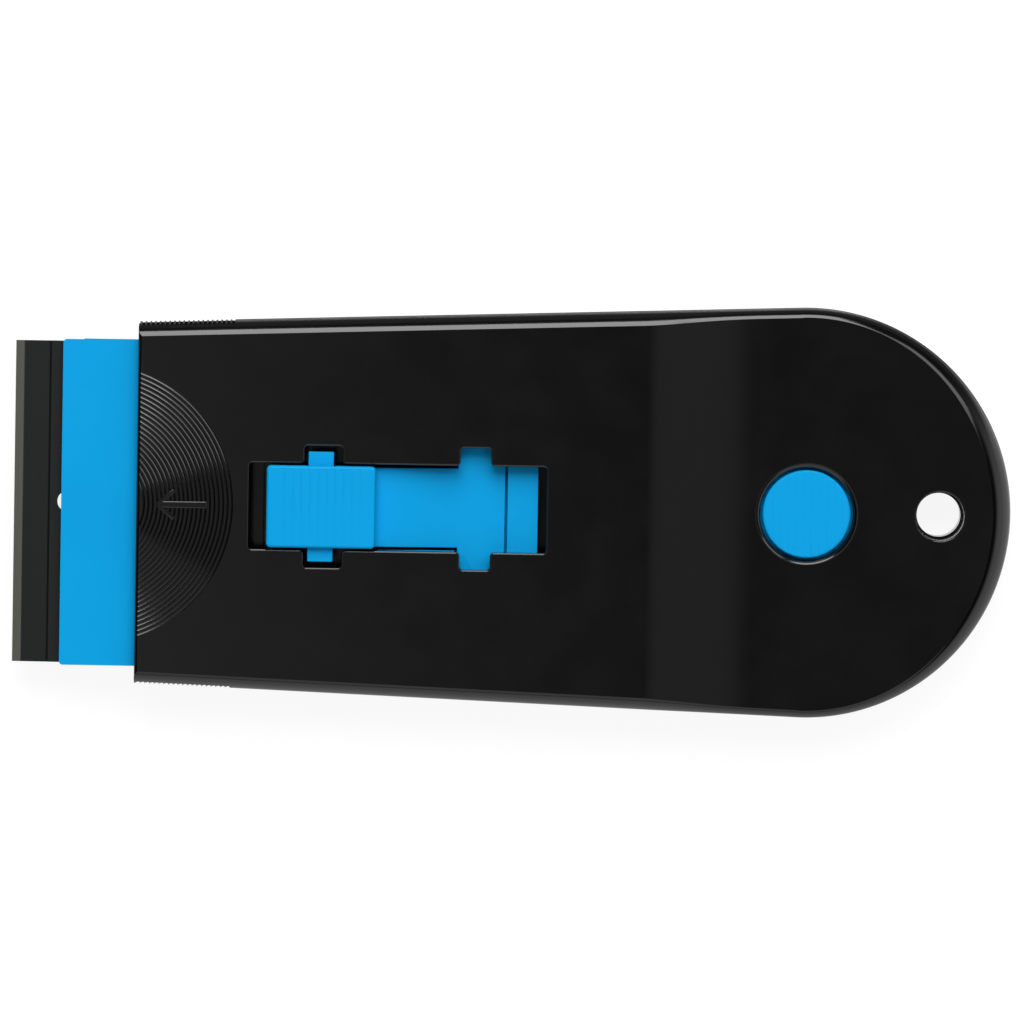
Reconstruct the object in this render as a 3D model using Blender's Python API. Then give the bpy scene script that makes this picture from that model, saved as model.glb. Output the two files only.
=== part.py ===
# Hand scraper with a retractable plastic blade.
# Lengths are in metres and +Z is up. X runs from the blade to the hanging hole, and in this layout X is zero
# at the housing's mouth. The whole tool then hangs under one empty that puts the origin under its middle.

import math

import bmesh
import bpy

MM = 0.001

# Clearances and allowances that every piece shares
SEAT_GAP = 0.3 * MM
RUN_GAP = 0.3 * MM
OVERRUN = 1.0 * MM
SUNK = 0.8 * MM

# Scraper blade, sharp along both long sides
BLADE_LENGTH = 38.1 * MM
BLADE_WIDTH = 19.05 * MM
BLADE_THICKNESS = 1.2 * MM
BLADE_TIP_THICKNESS = 0.16 * MM
BLADE_BEVEL_WIDTH = 1.0 * MM
BLADE_BEVEL_THICKNESS = 0.5 * MM
BLADE_FACE_WIDTH = 3.0 * MM
BLADE_FACE_THICKNESS = 0.9 * MM
BLADE_GROOVE_WIDTH = 0.25 * MM
BLADE_GROOVE_DEPTH = 0.1 * MM
BLADE_HOLE_RADIUS = 1.25 * MM
BLADE_HOLE_INSET = 6.35 * MM
BLADE_PLAY = 0.2 * MM

# Blade holder: the jaws that stand out of the mouth
BLADE_OUT = 14.6 * MM
BLADE_SHOWN = 5.65 * MM
HOLDER_MARGIN = 0.25 * MM
HOLDER_SIDE_PLAY = 0.45 * MM
LOWER_JAW_SETBACK = 2.35 * MM
LOWER_JAW_THICKNESS = 1.2 * MM
CLAMP_THICKNESS = 1.1 * MM
CLAMP_SEAT_LENGTH = 3.25 * MM
CLAMP_EDGE = 0.15 * MM
HEAD_WALL = 2.2 * MM
PEG_RADIUS = 1.0 * MM
CLAMP_PEG_SPACING = 13.0 * MM

# Sliding plate of the blade carrier
SLIDE_TRAVEL = 18.3 * MM
PLATE_THICKNESS = 1.6 * MM
PLATE_EDGE_OUTSIDE_RAIL = 1.0 * MM
WINDOW_FRONT_MARGIN = 1.0 * MM
WINDOW_LUG_ROOM = 1.3 * MM
TONGUE_SLIT = 0.35 * MM
LEDGE_THICKNESS = 1.0 * MM
LEDGE_FRONT_MARGIN = 1.5 * MM
CARRIER_BAR_LENGTH = 3.6 * MM
PRONG_WIDTH = 2.0 * MM
PRONG_ROOT = 2.5 * MM
PRONG_ROOF_ROOM = 0.4 * MM
HOOK_LENGTH = 1.8 * MM
HOOK_CHAMFER = 0.8 * MM

# Thumb pad, and the sprung tongue that carries it
PAD_SETBACK = 4.9 * MM
PAD_LENGTH = 12.85 * MM
PAD_WIDTH = 9.7 * MM
PAD_PROUD = 0.8 * MM
PAD_ROUND = 0.35 * MM
PAD_RIB_PITCH = 1.0 * MM
PAD_RIB_WIDTH = 0.45 * MM
PAD_RIB_DEPTH = 0.12 * MM
PAD_RIB_END_MARGIN = 1.0 * MM
TONGUE_SIDE_INSET = 0.15 * MM
TONGUE_THICKNESS = 1.0 * MM
TONGUE_RISE = 1.0 * MM
TONGUE_SLOPE_LENGTH = 9.35 * MM
TONGUE_FLAT = 0.4 * MM
TONGUE_ROOT_LENGTH = 5.6 * MM
TONGUE_ROOT_DROP = 0.3 * MM
TONGUE_PEG_SPACING = 9.5 * MM
LUG_SETBACK = 6.4 * MM
LUG_LENGTH = 3.0 * MM
LUG_SPAN = 13.0 * MM
LUG_BELOW_ROOF = 0.2 * MM

# Slot and notches in the roof
SLOT_SIDE_PLAY = 0.25 * MM
SLOT_FRONT_PLAY = 2.1 * MM
SLOT_REAR_PLAY = 1.95 * MM
SLOT_CORNER_RADIUS = 0.5 * MM
SLOT_RIM_CHAMFER = 0.2 * MM
NOTCH_SIDE_PLAY = 0.7 * MM
FRONT_NOTCH_LENGTH = 4.5 * MM
FRONT_NOTCH_OFFSET = 0.28 * MM
REAR_NOTCH_LENGTH = 3.6 * MM

# Housing, a tapered handle with a round end
SIDE_WALL = 1.7 * MM
FLOOR_WALL = 1.6 * MM
ROOF_WALL = 1.8 * MM
REAR_ROOF_WALL = 1.6 * MM
ROOF_DROP = 1.0 * MM
RAMP_LENGTH = 11.2 * MM
CREASE_SETBACK = 5.3 * MM
PARTING_HEIGHT = 4.0 * MM
FRONT_EDGE_RADIUS = 1.35 * MM
REAR_EDGE_RADIUS = 0.9 * MM
BOTTOM_EDGE_RADIUS = 1.2 * MM
SIDE_DRAFT = 0.3 * MM
RIM_STEP = 0.2 * MM
RIM_CHAMFER = 0.15 * MM
REAR_ROOM = 1.35 * MM
LIP_THICKNESS = 0.7 * MM
LIP_HEIGHT = 1.0 * MM
LIP_PLAY = 0.2 * MM

# Rails, sill and pegs inside the housing
LOW_RAIL_HEIGHT = 1.7 * MM
SILL_BELOW_RAIL = 0.2 * MM
RAIL_THICKNESS = 1.5 * MM
RAIL_PRONG_ROOM = 1.8 * MM
RAIL_REAR_MARGIN = 2.0 * MM
CROSS_RIB_THICKNESS = 1.1 * MM
CROSS_RIB_INSET = 0.5 * MM
CROSS_RIB_END_MARGIN = 1.0 * MM
TONGUE_ROOT_RAIL_ROOM = 0.6 * MM
SHELL_PEG_RADIUS = 1.0 * MM
SHELL_BOSS_RADIUS = 2.0 * MM
SHELL_PEG_LENGTH = 2.0 * MM
SHELL_BOSS_SIDE_ROOM = 0.4 * MM
FRONT_BOSS_ROOM = 1.0 * MM
BOSS_SPACING = 26.0 * MM

# Release button near the round end, its guide post and its spring
BUTTON_SETBACK = 13.2 * MM
BUTTON_RADIUS = 5.225 * MM
BUTTON_HOLE_PLAY = 0.275 * MM
BUTTON_HOLE_ROUND = 0.6 * MM
BUTTON_RECESS = 0.35 * MM
BUTTON_ROUND = 0.3 * MM
BUTTON_TOP_THICKNESS = 1.2 * MM
BUTTON_SKIRT = 0.925 * MM
BUTTON_RIB_PITCH = 0.91 * MM
BUTTON_RIB_WIDTH = 0.45 * MM
BUTTON_RIB_DEPTH = 0.12 * MM
FLANGE_MARGIN = 1.525 * MM
FLANGE_THICKNESS = 1.4 * MM
PRESS_TRAVEL = 1.6 * MM
WING_REACH = 8.9 * MM
WING_LENGTH = 2.5 * MM
WING_SETBACK = 2.3 * MM
SOCKET_WALL = 1.1 * MM
SOCKET_SIDE_ROOM = 0.4 * MM
SOCKET_FLOOR_ROOM = 0.1 * MM
POST_TOP_ROOM = 0.2 * MM
SPRING_WIRE_RADIUS = 0.3 * MM
SPRING_SIDE_ROOM = 0.5 * MM
SPRING_TURNS = 4
SPRING_STEPS_PER_TURN = 16

# Hanging hole through both shells
HANG_SETBACK = 15.8 * MM
HANG_RADIUS = 2.9 * MM
HANG_TUBE_WALL = 1.3 * MM

# Grip patterns on the outside: rings behind the mouth and fine teeth along both sides
RING_CENTRE_OUT = 5.05 * MM
RING_FIRST_RADIUS = 6.0 * MM
RING_PITCH = 0.52 * MM
RING_WIDTH = 0.36 * MM
RING_DEPTH = 0.12 * MM
RING_COUNT = 21
TOOTH_PITCH = 0.56 * MM
TOOTH_WIDTH = 0.44 * MM
TOOTH_DEPTH = 0.28 * MM
TOOTH_COUNT = 20
TOOTH_START = 0.45 * MM
TOOTH_END_MARGIN = 0.3 * MM

# Facets of round shapes
ARC_STEPS = 22
EDGE_STEPS = 3
RAMP_STEPS = 6
SLOPE_STEPS = 6
CORNER_STEPS = 3
ROUND_SIDES = 32
RING_SIDES = 64
PEG_SIDES = 16
WIRE_SIDES = 6
SHARP_ANGLE = math.radians(32)
GROOVE_RISE_SHARE = 0.2

# Places along the tool, from the blade's edge to the round end
blade_edge_x = -BLADE_OUT
blade_rear_x = blade_edge_x + BLADE_WIDTH
holder_front_x = blade_edge_x + BLADE_SHOWN
lower_jaw_front_x = holder_front_x + LOWER_JAW_SETBACK
blade_stop_x = blade_rear_x + SEAT_GAP
clamp_rear_x = blade_stop_x + CLAMP_SEAT_LENGTH
head_wall_x = clamp_rear_x + SEAT_GAP
head_rear_x = head_wall_x + HEAD_WALL
pad_front_x = head_rear_x + PAD_SETBACK
pad_rear_x = pad_front_x + PAD_LENGTH
lug_x = pad_front_x + LUG_SETBACK
flat_front_x = pad_rear_x + TONGUE_SLOPE_LENGTH
root_front_x = flat_front_x + TONGUE_FLAT
root_rear_x = root_front_x + TONGUE_ROOT_LENGTH
tongue_hinge_x = root_front_x - TONGUE_SLOPE_LENGTH / 4
bar_front_x = root_rear_x + SEAT_GAP
carrier_rear_x = bar_front_x + CARRIER_BAR_LENGTH
slot_front_x = pad_front_x - SLOT_FRONT_PLAY
slot_rear_x = pad_rear_x + SLIDE_TRAVEL + SLOT_REAR_PLAY
front_notch_x = lug_x + FRONT_NOTCH_OFFSET
rear_notch_x = lug_x + SLIDE_TRAVEL
pocket_rear_x = carrier_rear_x + SLIDE_TRAVEL + RUN_GAP
crease_x = pocket_rear_x - CREASE_SETBACK
button_x = pocket_rear_x + BUTTON_SETBACK
hang_x = button_x + HANG_SETBACK
wing_rear_x = button_x - WING_SETBACK
wing_front_x = wing_rear_x - WING_LENGTH
hook_front_x = wing_rear_x + RUN_GAP
hook_rear_x = hook_front_x + HOOK_LENGTH

# Places across the tool
holder_half_width = BLADE_LENGTH / 2 + HOLDER_MARGIN
mouth_half_width = holder_half_width + HOLDER_SIDE_PLAY
housing_half_width = mouth_half_width + SIDE_WALL
flange_radius = BUTTON_RADIUS + FLANGE_MARGIN
button_hollow_radius = BUTTON_RADIUS - BUTTON_SKIRT
spring_radius = button_hollow_radius - SPRING_SIDE_ROOM - SPRING_WIRE_RADIUS
socket_radius = spring_radius - SPRING_WIRE_RADIUS - SOCKET_SIDE_ROOM
socket_half_width = socket_radius - SOCKET_WALL
post_half_width = socket_half_width - SEAT_GAP
hook_inner_y = flange_radius + SEAT_GAP
prong_inner_y = WING_REACH + RUN_GAP
prong_outer_y = prong_inner_y + PRONG_WIDTH
rail_inner_y = prong_outer_y + RAIL_PRONG_ROOM
rail_outer_y = rail_inner_y + RAIL_THICKNESS
plate_half_width = rail_outer_y + PLATE_EDGE_OUTSIDE_RAIL
root_half_width = rail_inner_y - TONGUE_ROOT_RAIL_ROOM
tongue_half_width = PAD_WIDTH / 2 - TONGUE_SIDE_INSET
boss_y = plate_half_width + SHELL_BOSS_SIDE_ROOM + SHELL_BOSS_RADIUS
slot_half_width = PAD_WIDTH / 2 + SLOT_SIDE_PLAY
notch_half_width = LUG_SPAN / 2 + NOTCH_SIDE_PLAY
retracted_hook_reach = hook_rear_x + SLIDE_TRAVEL - button_x
rear_radius = math.hypot(retracted_hook_reach, prong_outer_y) + REAR_ROOM + SIDE_WALL
rear_tip_x = button_x + rear_radius
front_boss_x = head_rear_x + SLIDE_TRAVEL + FRONT_BOSS_ROOM + SHELL_BOSS_RADIUS

# Heights, from the underside up
low_rail_top = FLOOR_WALL + LOW_RAIL_HEIGHT
lower_jaw_bottom = low_rail_top + RUN_GAP
lower_jaw_top = lower_jaw_bottom + LOWER_JAW_THICKNESS
blade_bottom = lower_jaw_top + BLADE_PLAY
blade_top = blade_bottom + BLADE_THICKNESS
blade_height = (blade_bottom + blade_top) / 2
clamp_bottom = blade_top + BLADE_PLAY
plate_top = clamp_bottom + CLAMP_THICKNESS
plate_bottom = plate_top - PLATE_THICKNESS
tall_rail_top = plate_bottom - RUN_GAP
front_ceiling = plate_top + RUN_GAP
front_height = front_ceiling + ROOF_WALL
rear_height = front_height - ROOF_DROP
rear_ceiling = rear_height - REAR_ROOF_WALL
lower_rim = PARTING_HEIGHT - SEAT_GAP / 2
upper_rim = PARTING_HEIGHT + SEAT_GAP / 2
root_top = plate_top - TONGUE_ROOT_DROP
root_bottom = root_top - TONGUE_THICKNESS
ledge_top = root_bottom - SEAT_GAP
ledge_bottom = ledge_top - LEDGE_THICKNESS
platform_top = root_top + TONGUE_RISE
platform_bottom = platform_top - TONGUE_THICKNESS
pad_bottom = platform_top + SEAT_GAP
pad_top = front_height + PAD_PROUD
lug_top = front_height - LUG_BELOW_ROOF
flange_top = rear_ceiling - SEAT_GAP
flange_bottom = flange_top - FLANGE_THICKNESS
prong_bottom = flange_top - PRESS_TRAVEL + RUN_GAP
prong_top = rear_ceiling - PRONG_ROOF_ROOM
button_top = rear_height - BUTTON_RECESS
button_ceiling = button_top - BUTTON_TOP_THICKNESS
socket_bottom = FLOOR_WALL + PRESS_TRAVEL + SEAT_GAP + SOCKET_FLOOR_ROOM
post_top = button_ceiling - PRESS_TRAVEL - SEAT_GAP - POST_TOP_ROOM
shell_peg_top = upper_rim + SHELL_PEG_LENGTH
shell_socket_top = shell_peg_top + SEAT_GAP

# The housing's sides lean out towards the back until they run into the round end
taper = math.asin(rear_radius / math.hypot(button_x, housing_half_width)) - math.atan2(
    housing_half_width, button_x
)
middle_x = (rear_tip_x + blade_edge_x) / 2


def clear_scene():
    for old in list(bpy.data.objects):
        bpy.data.objects.remove(old, do_unlink=True)


def plastic(name, colour, roughness, metallic=0.0):
    material = bpy.data.materials.new(name)
    material.use_nodes = True
    shader = material.node_tree.nodes["Principled BSDF"]
    shader.inputs["Base Color"].default_value = (*colour, 1.0)
    shader.inputs["Roughness"].default_value = roughness
    shader.inputs["Metallic"].default_value = metallic
    material.diffuse_color = (*colour, 1.0)
    return material


def empty(name, place, parent=None):
    axes = bpy.data.objects.new(name, None)
    axes.location = place
    axes.parent = parent
    bpy.context.collection.objects.link(axes)
    return axes


def solid(name, bm, parent, material=None, origin=(0, 0, 0)):
    """Makes an object of a bmesh drawn in the tool's layout, with its own origin at the given place."""
    bmesh.ops.recalc_face_normals(bm, faces=bm.faces)
    bmesh.ops.translate(bm, verts=bm.verts, vec=[-value for value in origin])
    mesh = bpy.data.meshes.new(name)
    bm.to_mesh(mesh)
    bm.free()
    mesh.shade_smooth()
    mesh.set_sharp_from_angle(angle=SHARP_ANGLE)
    thing = bpy.data.objects.new(name, mesh)
    thing.location = origin
    thing.parent = parent
    if material:
        mesh.materials.append(material)
    bpy.context.collection.objects.link(thing)
    return thing


def tool(target, name, bm, operation, origin=(0, 0, 0)):
    """Adds a Boolean to the target, with a hidden helper drawn in the same layout."""
    helper = solid(name, bm, target.parent, origin=origin)
    helper.hide_render = True
    helper.display_type = "WIRE"
    modifier = target.modifiers.new(name, "BOOLEAN")
    modifier.operation = operation
    modifier.solver = "EXACT"
    modifier.object = helper
    return helper


def join(target, name, bm, origin=(0, 0, 0)):
    return tool(target, name, bm, "UNION", origin)


def cut(target, name, bm, origin=(0, 0, 0)):
    return tool(target, name, bm, "DIFFERENCE", origin)


def bridge(bm, low, high):
    """Joins two closed rings of vertices with a band of faces."""
    count = len(low)
    for index in range(count):
        after = (index + 1) % count
        bm.faces.new((low[index], low[after], high[after], high[index]))


def stack(bm, rings):
    """Closes a pile of rings into one solid, with a flat face at each end."""
    drawn = [[bm.verts.new(point) for point in ring] for ring in rings]
    for low, high in zip(drawn, drawn[1:]):
        bridge(bm, low, high)
    bm.faces.new(list(reversed(drawn[0])))
    bm.faces.new(drawn[-1])
    return drawn


def prism(bm, outline, low, high):
    """A plan outline carried from one height to another."""
    stack(bm, [[(x, y, z) for x, y in outline] for z in (low, high)])


def slab(bm, profile, left, right):
    """A side profile in X and Z carried across the tool from one Y to another."""
    stack(bm, [[(x, y, z) for x, z in profile] for y in (left, right)])


def block(bm, x_range, y_range, z_range):
    corners = [(x, y) for x, y in zip(x_range + x_range[::-1], (y_range[0],) * 2 + (y_range[1],) * 2)]
    prism(bm, corners, *z_range)


def circle(x, y, radius, sides=ROUND_SIDES):
    turn = 2 * math.pi / sides
    return [(x + radius * math.cos(turn * k), y + radius * math.sin(turn * k)) for k in range(sides)]


def drum(bm, place, radius, z_range, sides=PEG_SIDES):
    prism(bm, circle(*place, radius, sides), *z_range)


def turned(bm, place, profile, sides=ROUND_SIDES):
    """A round solid about a vertical axis, from radius and height pairs."""
    stack(bm, [[(x, y, z) for x, y in circle(*place, radius, sides)] for radius, z in profile])


def mirrored(outline):
    """The same outline on the other side of the middle, still running the same way round."""
    return [(x, -y) for x, y in reversed(outline)]


def rounded(corners, radius, steps=CORNER_STEPS):
    """Replaces each corner of a plan outline by a small arc that meets both sides."""
    points = []
    for index, (x, y) in enumerate(corners):
        before = corners[index - 1]
        after = corners[(index + 1) % len(corners)]
        to_before = (before[0] - x, before[1] - y)
        to_after = (after[0] - x, after[1] - y)
        back = [value / math.hypot(*to_before) for value in to_before]
        ahead = [value / math.hypot(*to_after) for value in to_after]
        for step in range(steps + 1):
            angle = math.pi / 2 * step / steps
            along_back = radius * (1 - math.sin(angle))
            along_ahead = radius * (1 - math.cos(angle))
            points.append(
                (
                    x + back[0] * along_back + ahead[0] * along_ahead,
                    y + back[1] * along_back + ahead[1] * along_ahead,
                )
            )
    return points


def ramp_share(x):
    """How far the roof has come down at this X: 0 ahead of the crease, 1 behind the ramp."""
    along = min(max((x - crease_x) / RAMP_LENGTH, 0), 1)
    return 1 - (1 - along) ** 2


def roof_height(x):
    return front_height - ROOF_DROP * ramp_share(x)


def roof_edge_radius(x):
    return FRONT_EDGE_RADIUS + (REAR_EDGE_RADIUS - FRONT_EDGE_RADIUS) * ramp_share(x)


def side_y(x, inset):
    return housing_half_width + x * math.tan(taper) - inset / math.cos(taper)


def handle_outline(inset_at, front_x=0.0, with_ramp=False):
    """Plan of the housing from the front round to the front, drawn in by an inset that may vary with X."""
    stations = [front_x]
    if with_ramp:
        stations += [crease_x + RAMP_LENGTH * step / RAMP_STEPS for step in range(RAMP_STEPS + 1)]
    half = [(x, -side_y(x, inset_at(x))) for x in stations]
    radius = rear_radius - inset_at(button_x)
    first = -math.pi / 2 - taper
    half += [
        (button_x + radius * math.cos(angle), radius * math.sin(angle))
        for angle in (first * (1 - step / ARC_STEPS) for step in range(ARC_STEPS))
    ]
    return half + [(button_x + radius, 0.0)] + mirrored(half)


def even_outline(inset, front_x=0.0):
    return handle_outline(lambda x: inset, front_x)


def wall_ring(bm, insets, z_range):
    """A wall that follows the housing's outline between two insets, from the front round to the front."""
    corners = ((0, 0), (0, 1), (1, 1), (1, 0))
    rings = [
        [bm.verts.new((x, y, z_range[level])) for x, y in even_outline(insets[side])]
        for side, level in corners
    ]
    for first, second in zip(rings, rings[1:] + rings[:1]):
        for index in range(len(first) - 1):
            bm.faces.new((first[index], first[index + 1], second[index + 1], second[index]))
    bm.faces.new([ring[0] for ring in rings])
    bm.faces.new([ring[-1] for ring in rings])


def cap_across(bm, ring):
    """Closes a ring that is alike on both sides with faces that run straight across the tool."""
    count = len(ring)
    for index in range(count // 2):
        corners = [ring[index], ring[index + 1], ring[count - 2 - index], ring[count - 1 - index]]
        bm.faces.new([corner for k, corner in enumerate(corners) if corner not in corners[:k]])


def upper_body():
    """The upper shell's outside as a full solid: leaning sides, a rounded edge and a roof with a crease."""
    bm = bmesh.new()

    def ring(inset_at, height_at):
        outline = handle_outline(inset_at, with_ramp=True)
        return [bm.verts.new((x, y, height_at(x))) for x, y in outline]

    rings = [ring(lambda x: RIM_STEP, lambda x: upper_rim)]
    for step in range(EDGE_STEPS + 1):
        angle = math.pi / 2 * step / EDGE_STEPS
        rings.append(
            ring(
                lambda x: RIM_STEP + SIDE_DRAFT + roof_edge_radius(x) * (1 - math.cos(angle)),
                lambda x: roof_height(x) - roof_edge_radius(x) * (1 - math.sin(angle)),
            )
        )
    for low, high in zip(rings, rings[1:]):
        bridge(bm, low, high)
    cap_across(bm, rings[0])
    cap_across(bm, rings[-1])
    return bm


def lower_body():
    """The lower shell's outside as a full solid: a flat underside, rounded edges and a small rim."""
    bm = bmesh.new()
    levels = [
        (
            SIDE_DRAFT + BOTTOM_EDGE_RADIUS * (1 - math.sin(math.pi / 2 * step / EDGE_STEPS)),
            BOTTOM_EDGE_RADIUS * (1 - math.cos(math.pi / 2 * step / EDGE_STEPS)),
        )
        for step in range(EDGE_STEPS + 1)
    ]
    levels += [(0.0, lower_rim - RIM_CHAMFER), (RIM_CHAMFER, lower_rim)]
    rings = [[bm.verts.new((x, y, z)) for x, y in even_outline(inset)] for inset, z in levels]
    for low, high in zip(rings, rings[1:]):
        bridge(bm, low, high)
    cap_across(bm, rings[0])
    cap_across(bm, rings[-1])
    return bm


def slot_outline(grow=0.0):
    """The thumb slot with its two pairs of notches, drawn larger all round by the given amount."""
    corners = [(slot_front_x - grow, -slot_half_width - grow)]
    for notch_x, length in ((front_notch_x, FRONT_NOTCH_LENGTH), (rear_notch_x, REAR_NOTCH_LENGTH)):
        low_x = notch_x - length / 2 - grow
        high_x = notch_x + length / 2 + grow
        corners += [
            (low_x, -slot_half_width - grow),
            (low_x, -notch_half_width - grow),
            (high_x, -notch_half_width - grow),
            (high_x, -slot_half_width - grow),
        ]
    corners.append((slot_rear_x + grow, -slot_half_width - grow))
    return rounded(corners + mirrored(corners), SLOT_CORNER_RADIUS)


def slot_cutter(bm):
    levels = (
        (0.0, front_ceiling - OVERRUN),
        (0.0, front_height - SLOT_RIM_CHAMFER),
        (SLOT_RIM_CHAMFER + SUNK, front_height + SUNK),
    )
    stack(bm, [[(x, y, z) for x, y in slot_outline(grow)] for grow, z in levels])


def button_hole_cutter(bm):
    """A round hole whose top edge rolls outwards."""
    radius = BUTTON_RADIUS + BUTTON_HOLE_PLAY
    profile = [(radius, rear_ceiling - OVERRUN)]
    for step in range(EDGE_STEPS + 1):
        angle = math.pi / 2 * step / EDGE_STEPS
        profile.append(
            (
                radius + BUTTON_HOLE_ROUND * (1 - math.cos(angle)),
                rear_height - BUTTON_HOLE_ROUND * (1 - math.sin(angle)),
            )
        )
    profile.append((radius + BUTTON_HOLE_ROUND, rear_height + OVERRUN))
    turned(bm, (button_x, 0), profile)


def boss_places():
    return [
        (x, side * boss_y)
        for x in (front_boss_x, front_boss_x + BOSS_SPACING)
        for side in (-1, 1)
    ]


def groove(middle, surface, width, depth):
    """A V groove of the given width at a surface, with its corners a little way clear of it."""
    half = width / 2 * (1 + GROOVE_RISE_SHARE)
    rise = depth * GROOVE_RISE_SHARE
    return [(middle + half, surface + rise), (middle - half, surface + rise), (middle, surface - depth)]


def tooth_cutters(levels):
    """Upright V grooves along both sides of the front, leaning with the wall through the given levels."""
    bm = bmesh.new()
    for index in range(TOOTH_COUNT):
        x = TOOTH_START + TOOTH_PITCH * index
        rings = []
        for inset, z in levels:
            plan = groove(x, side_y(x, inset), TOOTH_WIDTH, TOOTH_DEPTH)
            rings.append([(px, py, z) for px, py in plan])
        stack(bm, rings)
        stack(bm, [[(px, -py, z) for px, py, z in ring] for ring in rings])
    return bm


def ring_cutters():
    """Fine V grooves on arcs about a point ahead of the mouth."""
    bm = bmesh.new()
    for index in range(RING_COUNT):
        radius = RING_FIRST_RADIUS + RING_PITCH * index
        loops = [
            [bm.verts.new((x, y, z)) for x, y in circle(-RING_CENTRE_OUT, 0, around, RING_SIDES)]
            for around, z in groove(radius, front_height, RING_WIDTH, RING_DEPTH)
        ]
        for low, high in zip(loops, loops[1:] + loops[:1]):
            bridge(bm, low, high)
    return bm


def make_upper_shell(parent, material):
    shell = solid("upper_shell", upper_body(), parent, material)

    cavity = bmesh.new()
    prism(cavity, even_outline(SIDE_WALL, -OVERRUN), upper_rim - OVERRUN, rear_ceiling)
    cut(shell, "cut_upper_cavity", cavity)

    rebate = bmesh.new()
    rebate_inset = SIDE_WALL - LIP_THICKNESS - LIP_PLAY
    rebate_top = lower_rim + LIP_HEIGHT + SEAT_GAP
    prism(rebate, even_outline(rebate_inset, -OVERRUN), upper_rim - OVERRUN, rebate_top)
    cut(shell, "cut_lip_rebate", rebate)

    pocket = bmesh.new()
    inner = SIDE_WALL + LIP_PLAY
    corners = [
        (-OVERRUN, -side_y(-OVERRUN, inner)),
        (pocket_rear_x, -side_y(pocket_rear_x, inner)),
    ]
    prism(pocket, corners + mirrored(corners), upper_rim - OVERRUN, front_ceiling)
    cut(shell, "cut_carrier_pocket", pocket)

    bosses = bmesh.new()
    for place in boss_places():
        drum(bosses, place, SHELL_BOSS_RADIUS, (upper_rim, front_ceiling + SUNK))
    tube = HANG_RADIUS + HANG_TUBE_WALL
    drum(bosses, (hang_x, 0), tube, (upper_rim, rear_ceiling + SUNK), ROUND_SIDES)
    join(shell, "add_upper_bosses", bosses)

    holes = bmesh.new()
    slot_cutter(holes)
    button_hole_cutter(holes)
    drum(holes, (hang_x, 0), HANG_RADIUS, (upper_rim - OVERRUN, rear_height + OVERRUN), ROUND_SIDES)
    for place in boss_places():
        drum(holes, place, SHELL_PEG_RADIUS + SEAT_GAP, (upper_rim - OVERRUN, shell_socket_top))
    cut(shell, "cut_upper_holes", holes)

    cut(shell, "cut_ring_grooves", ring_cutters())
    tooth_top = front_height - FRONT_EDGE_RADIUS - TOOTH_END_MARGIN
    cut(
        shell,
        "cut_upper_teeth",
        tooth_cutters(((RIM_STEP, upper_rim - SEAT_GAP / 2), (RIM_STEP + SIDE_DRAFT, tooth_top))),
    )
    return shell


def rail_profile():
    front = SIDE_WALL / 2
    step = head_rear_x + SLIDE_TRAVEL + RUN_GAP
    rear = pocket_rear_x - RAIL_REAR_MARGIN
    base = FLOOR_WALL / 2
    return [
        (front, base),
        (rear, base),
        (rear, tall_rail_top),
        (step, tall_rail_top),
        (step, low_rail_top),
        (front, low_rail_top),
    ]


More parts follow.
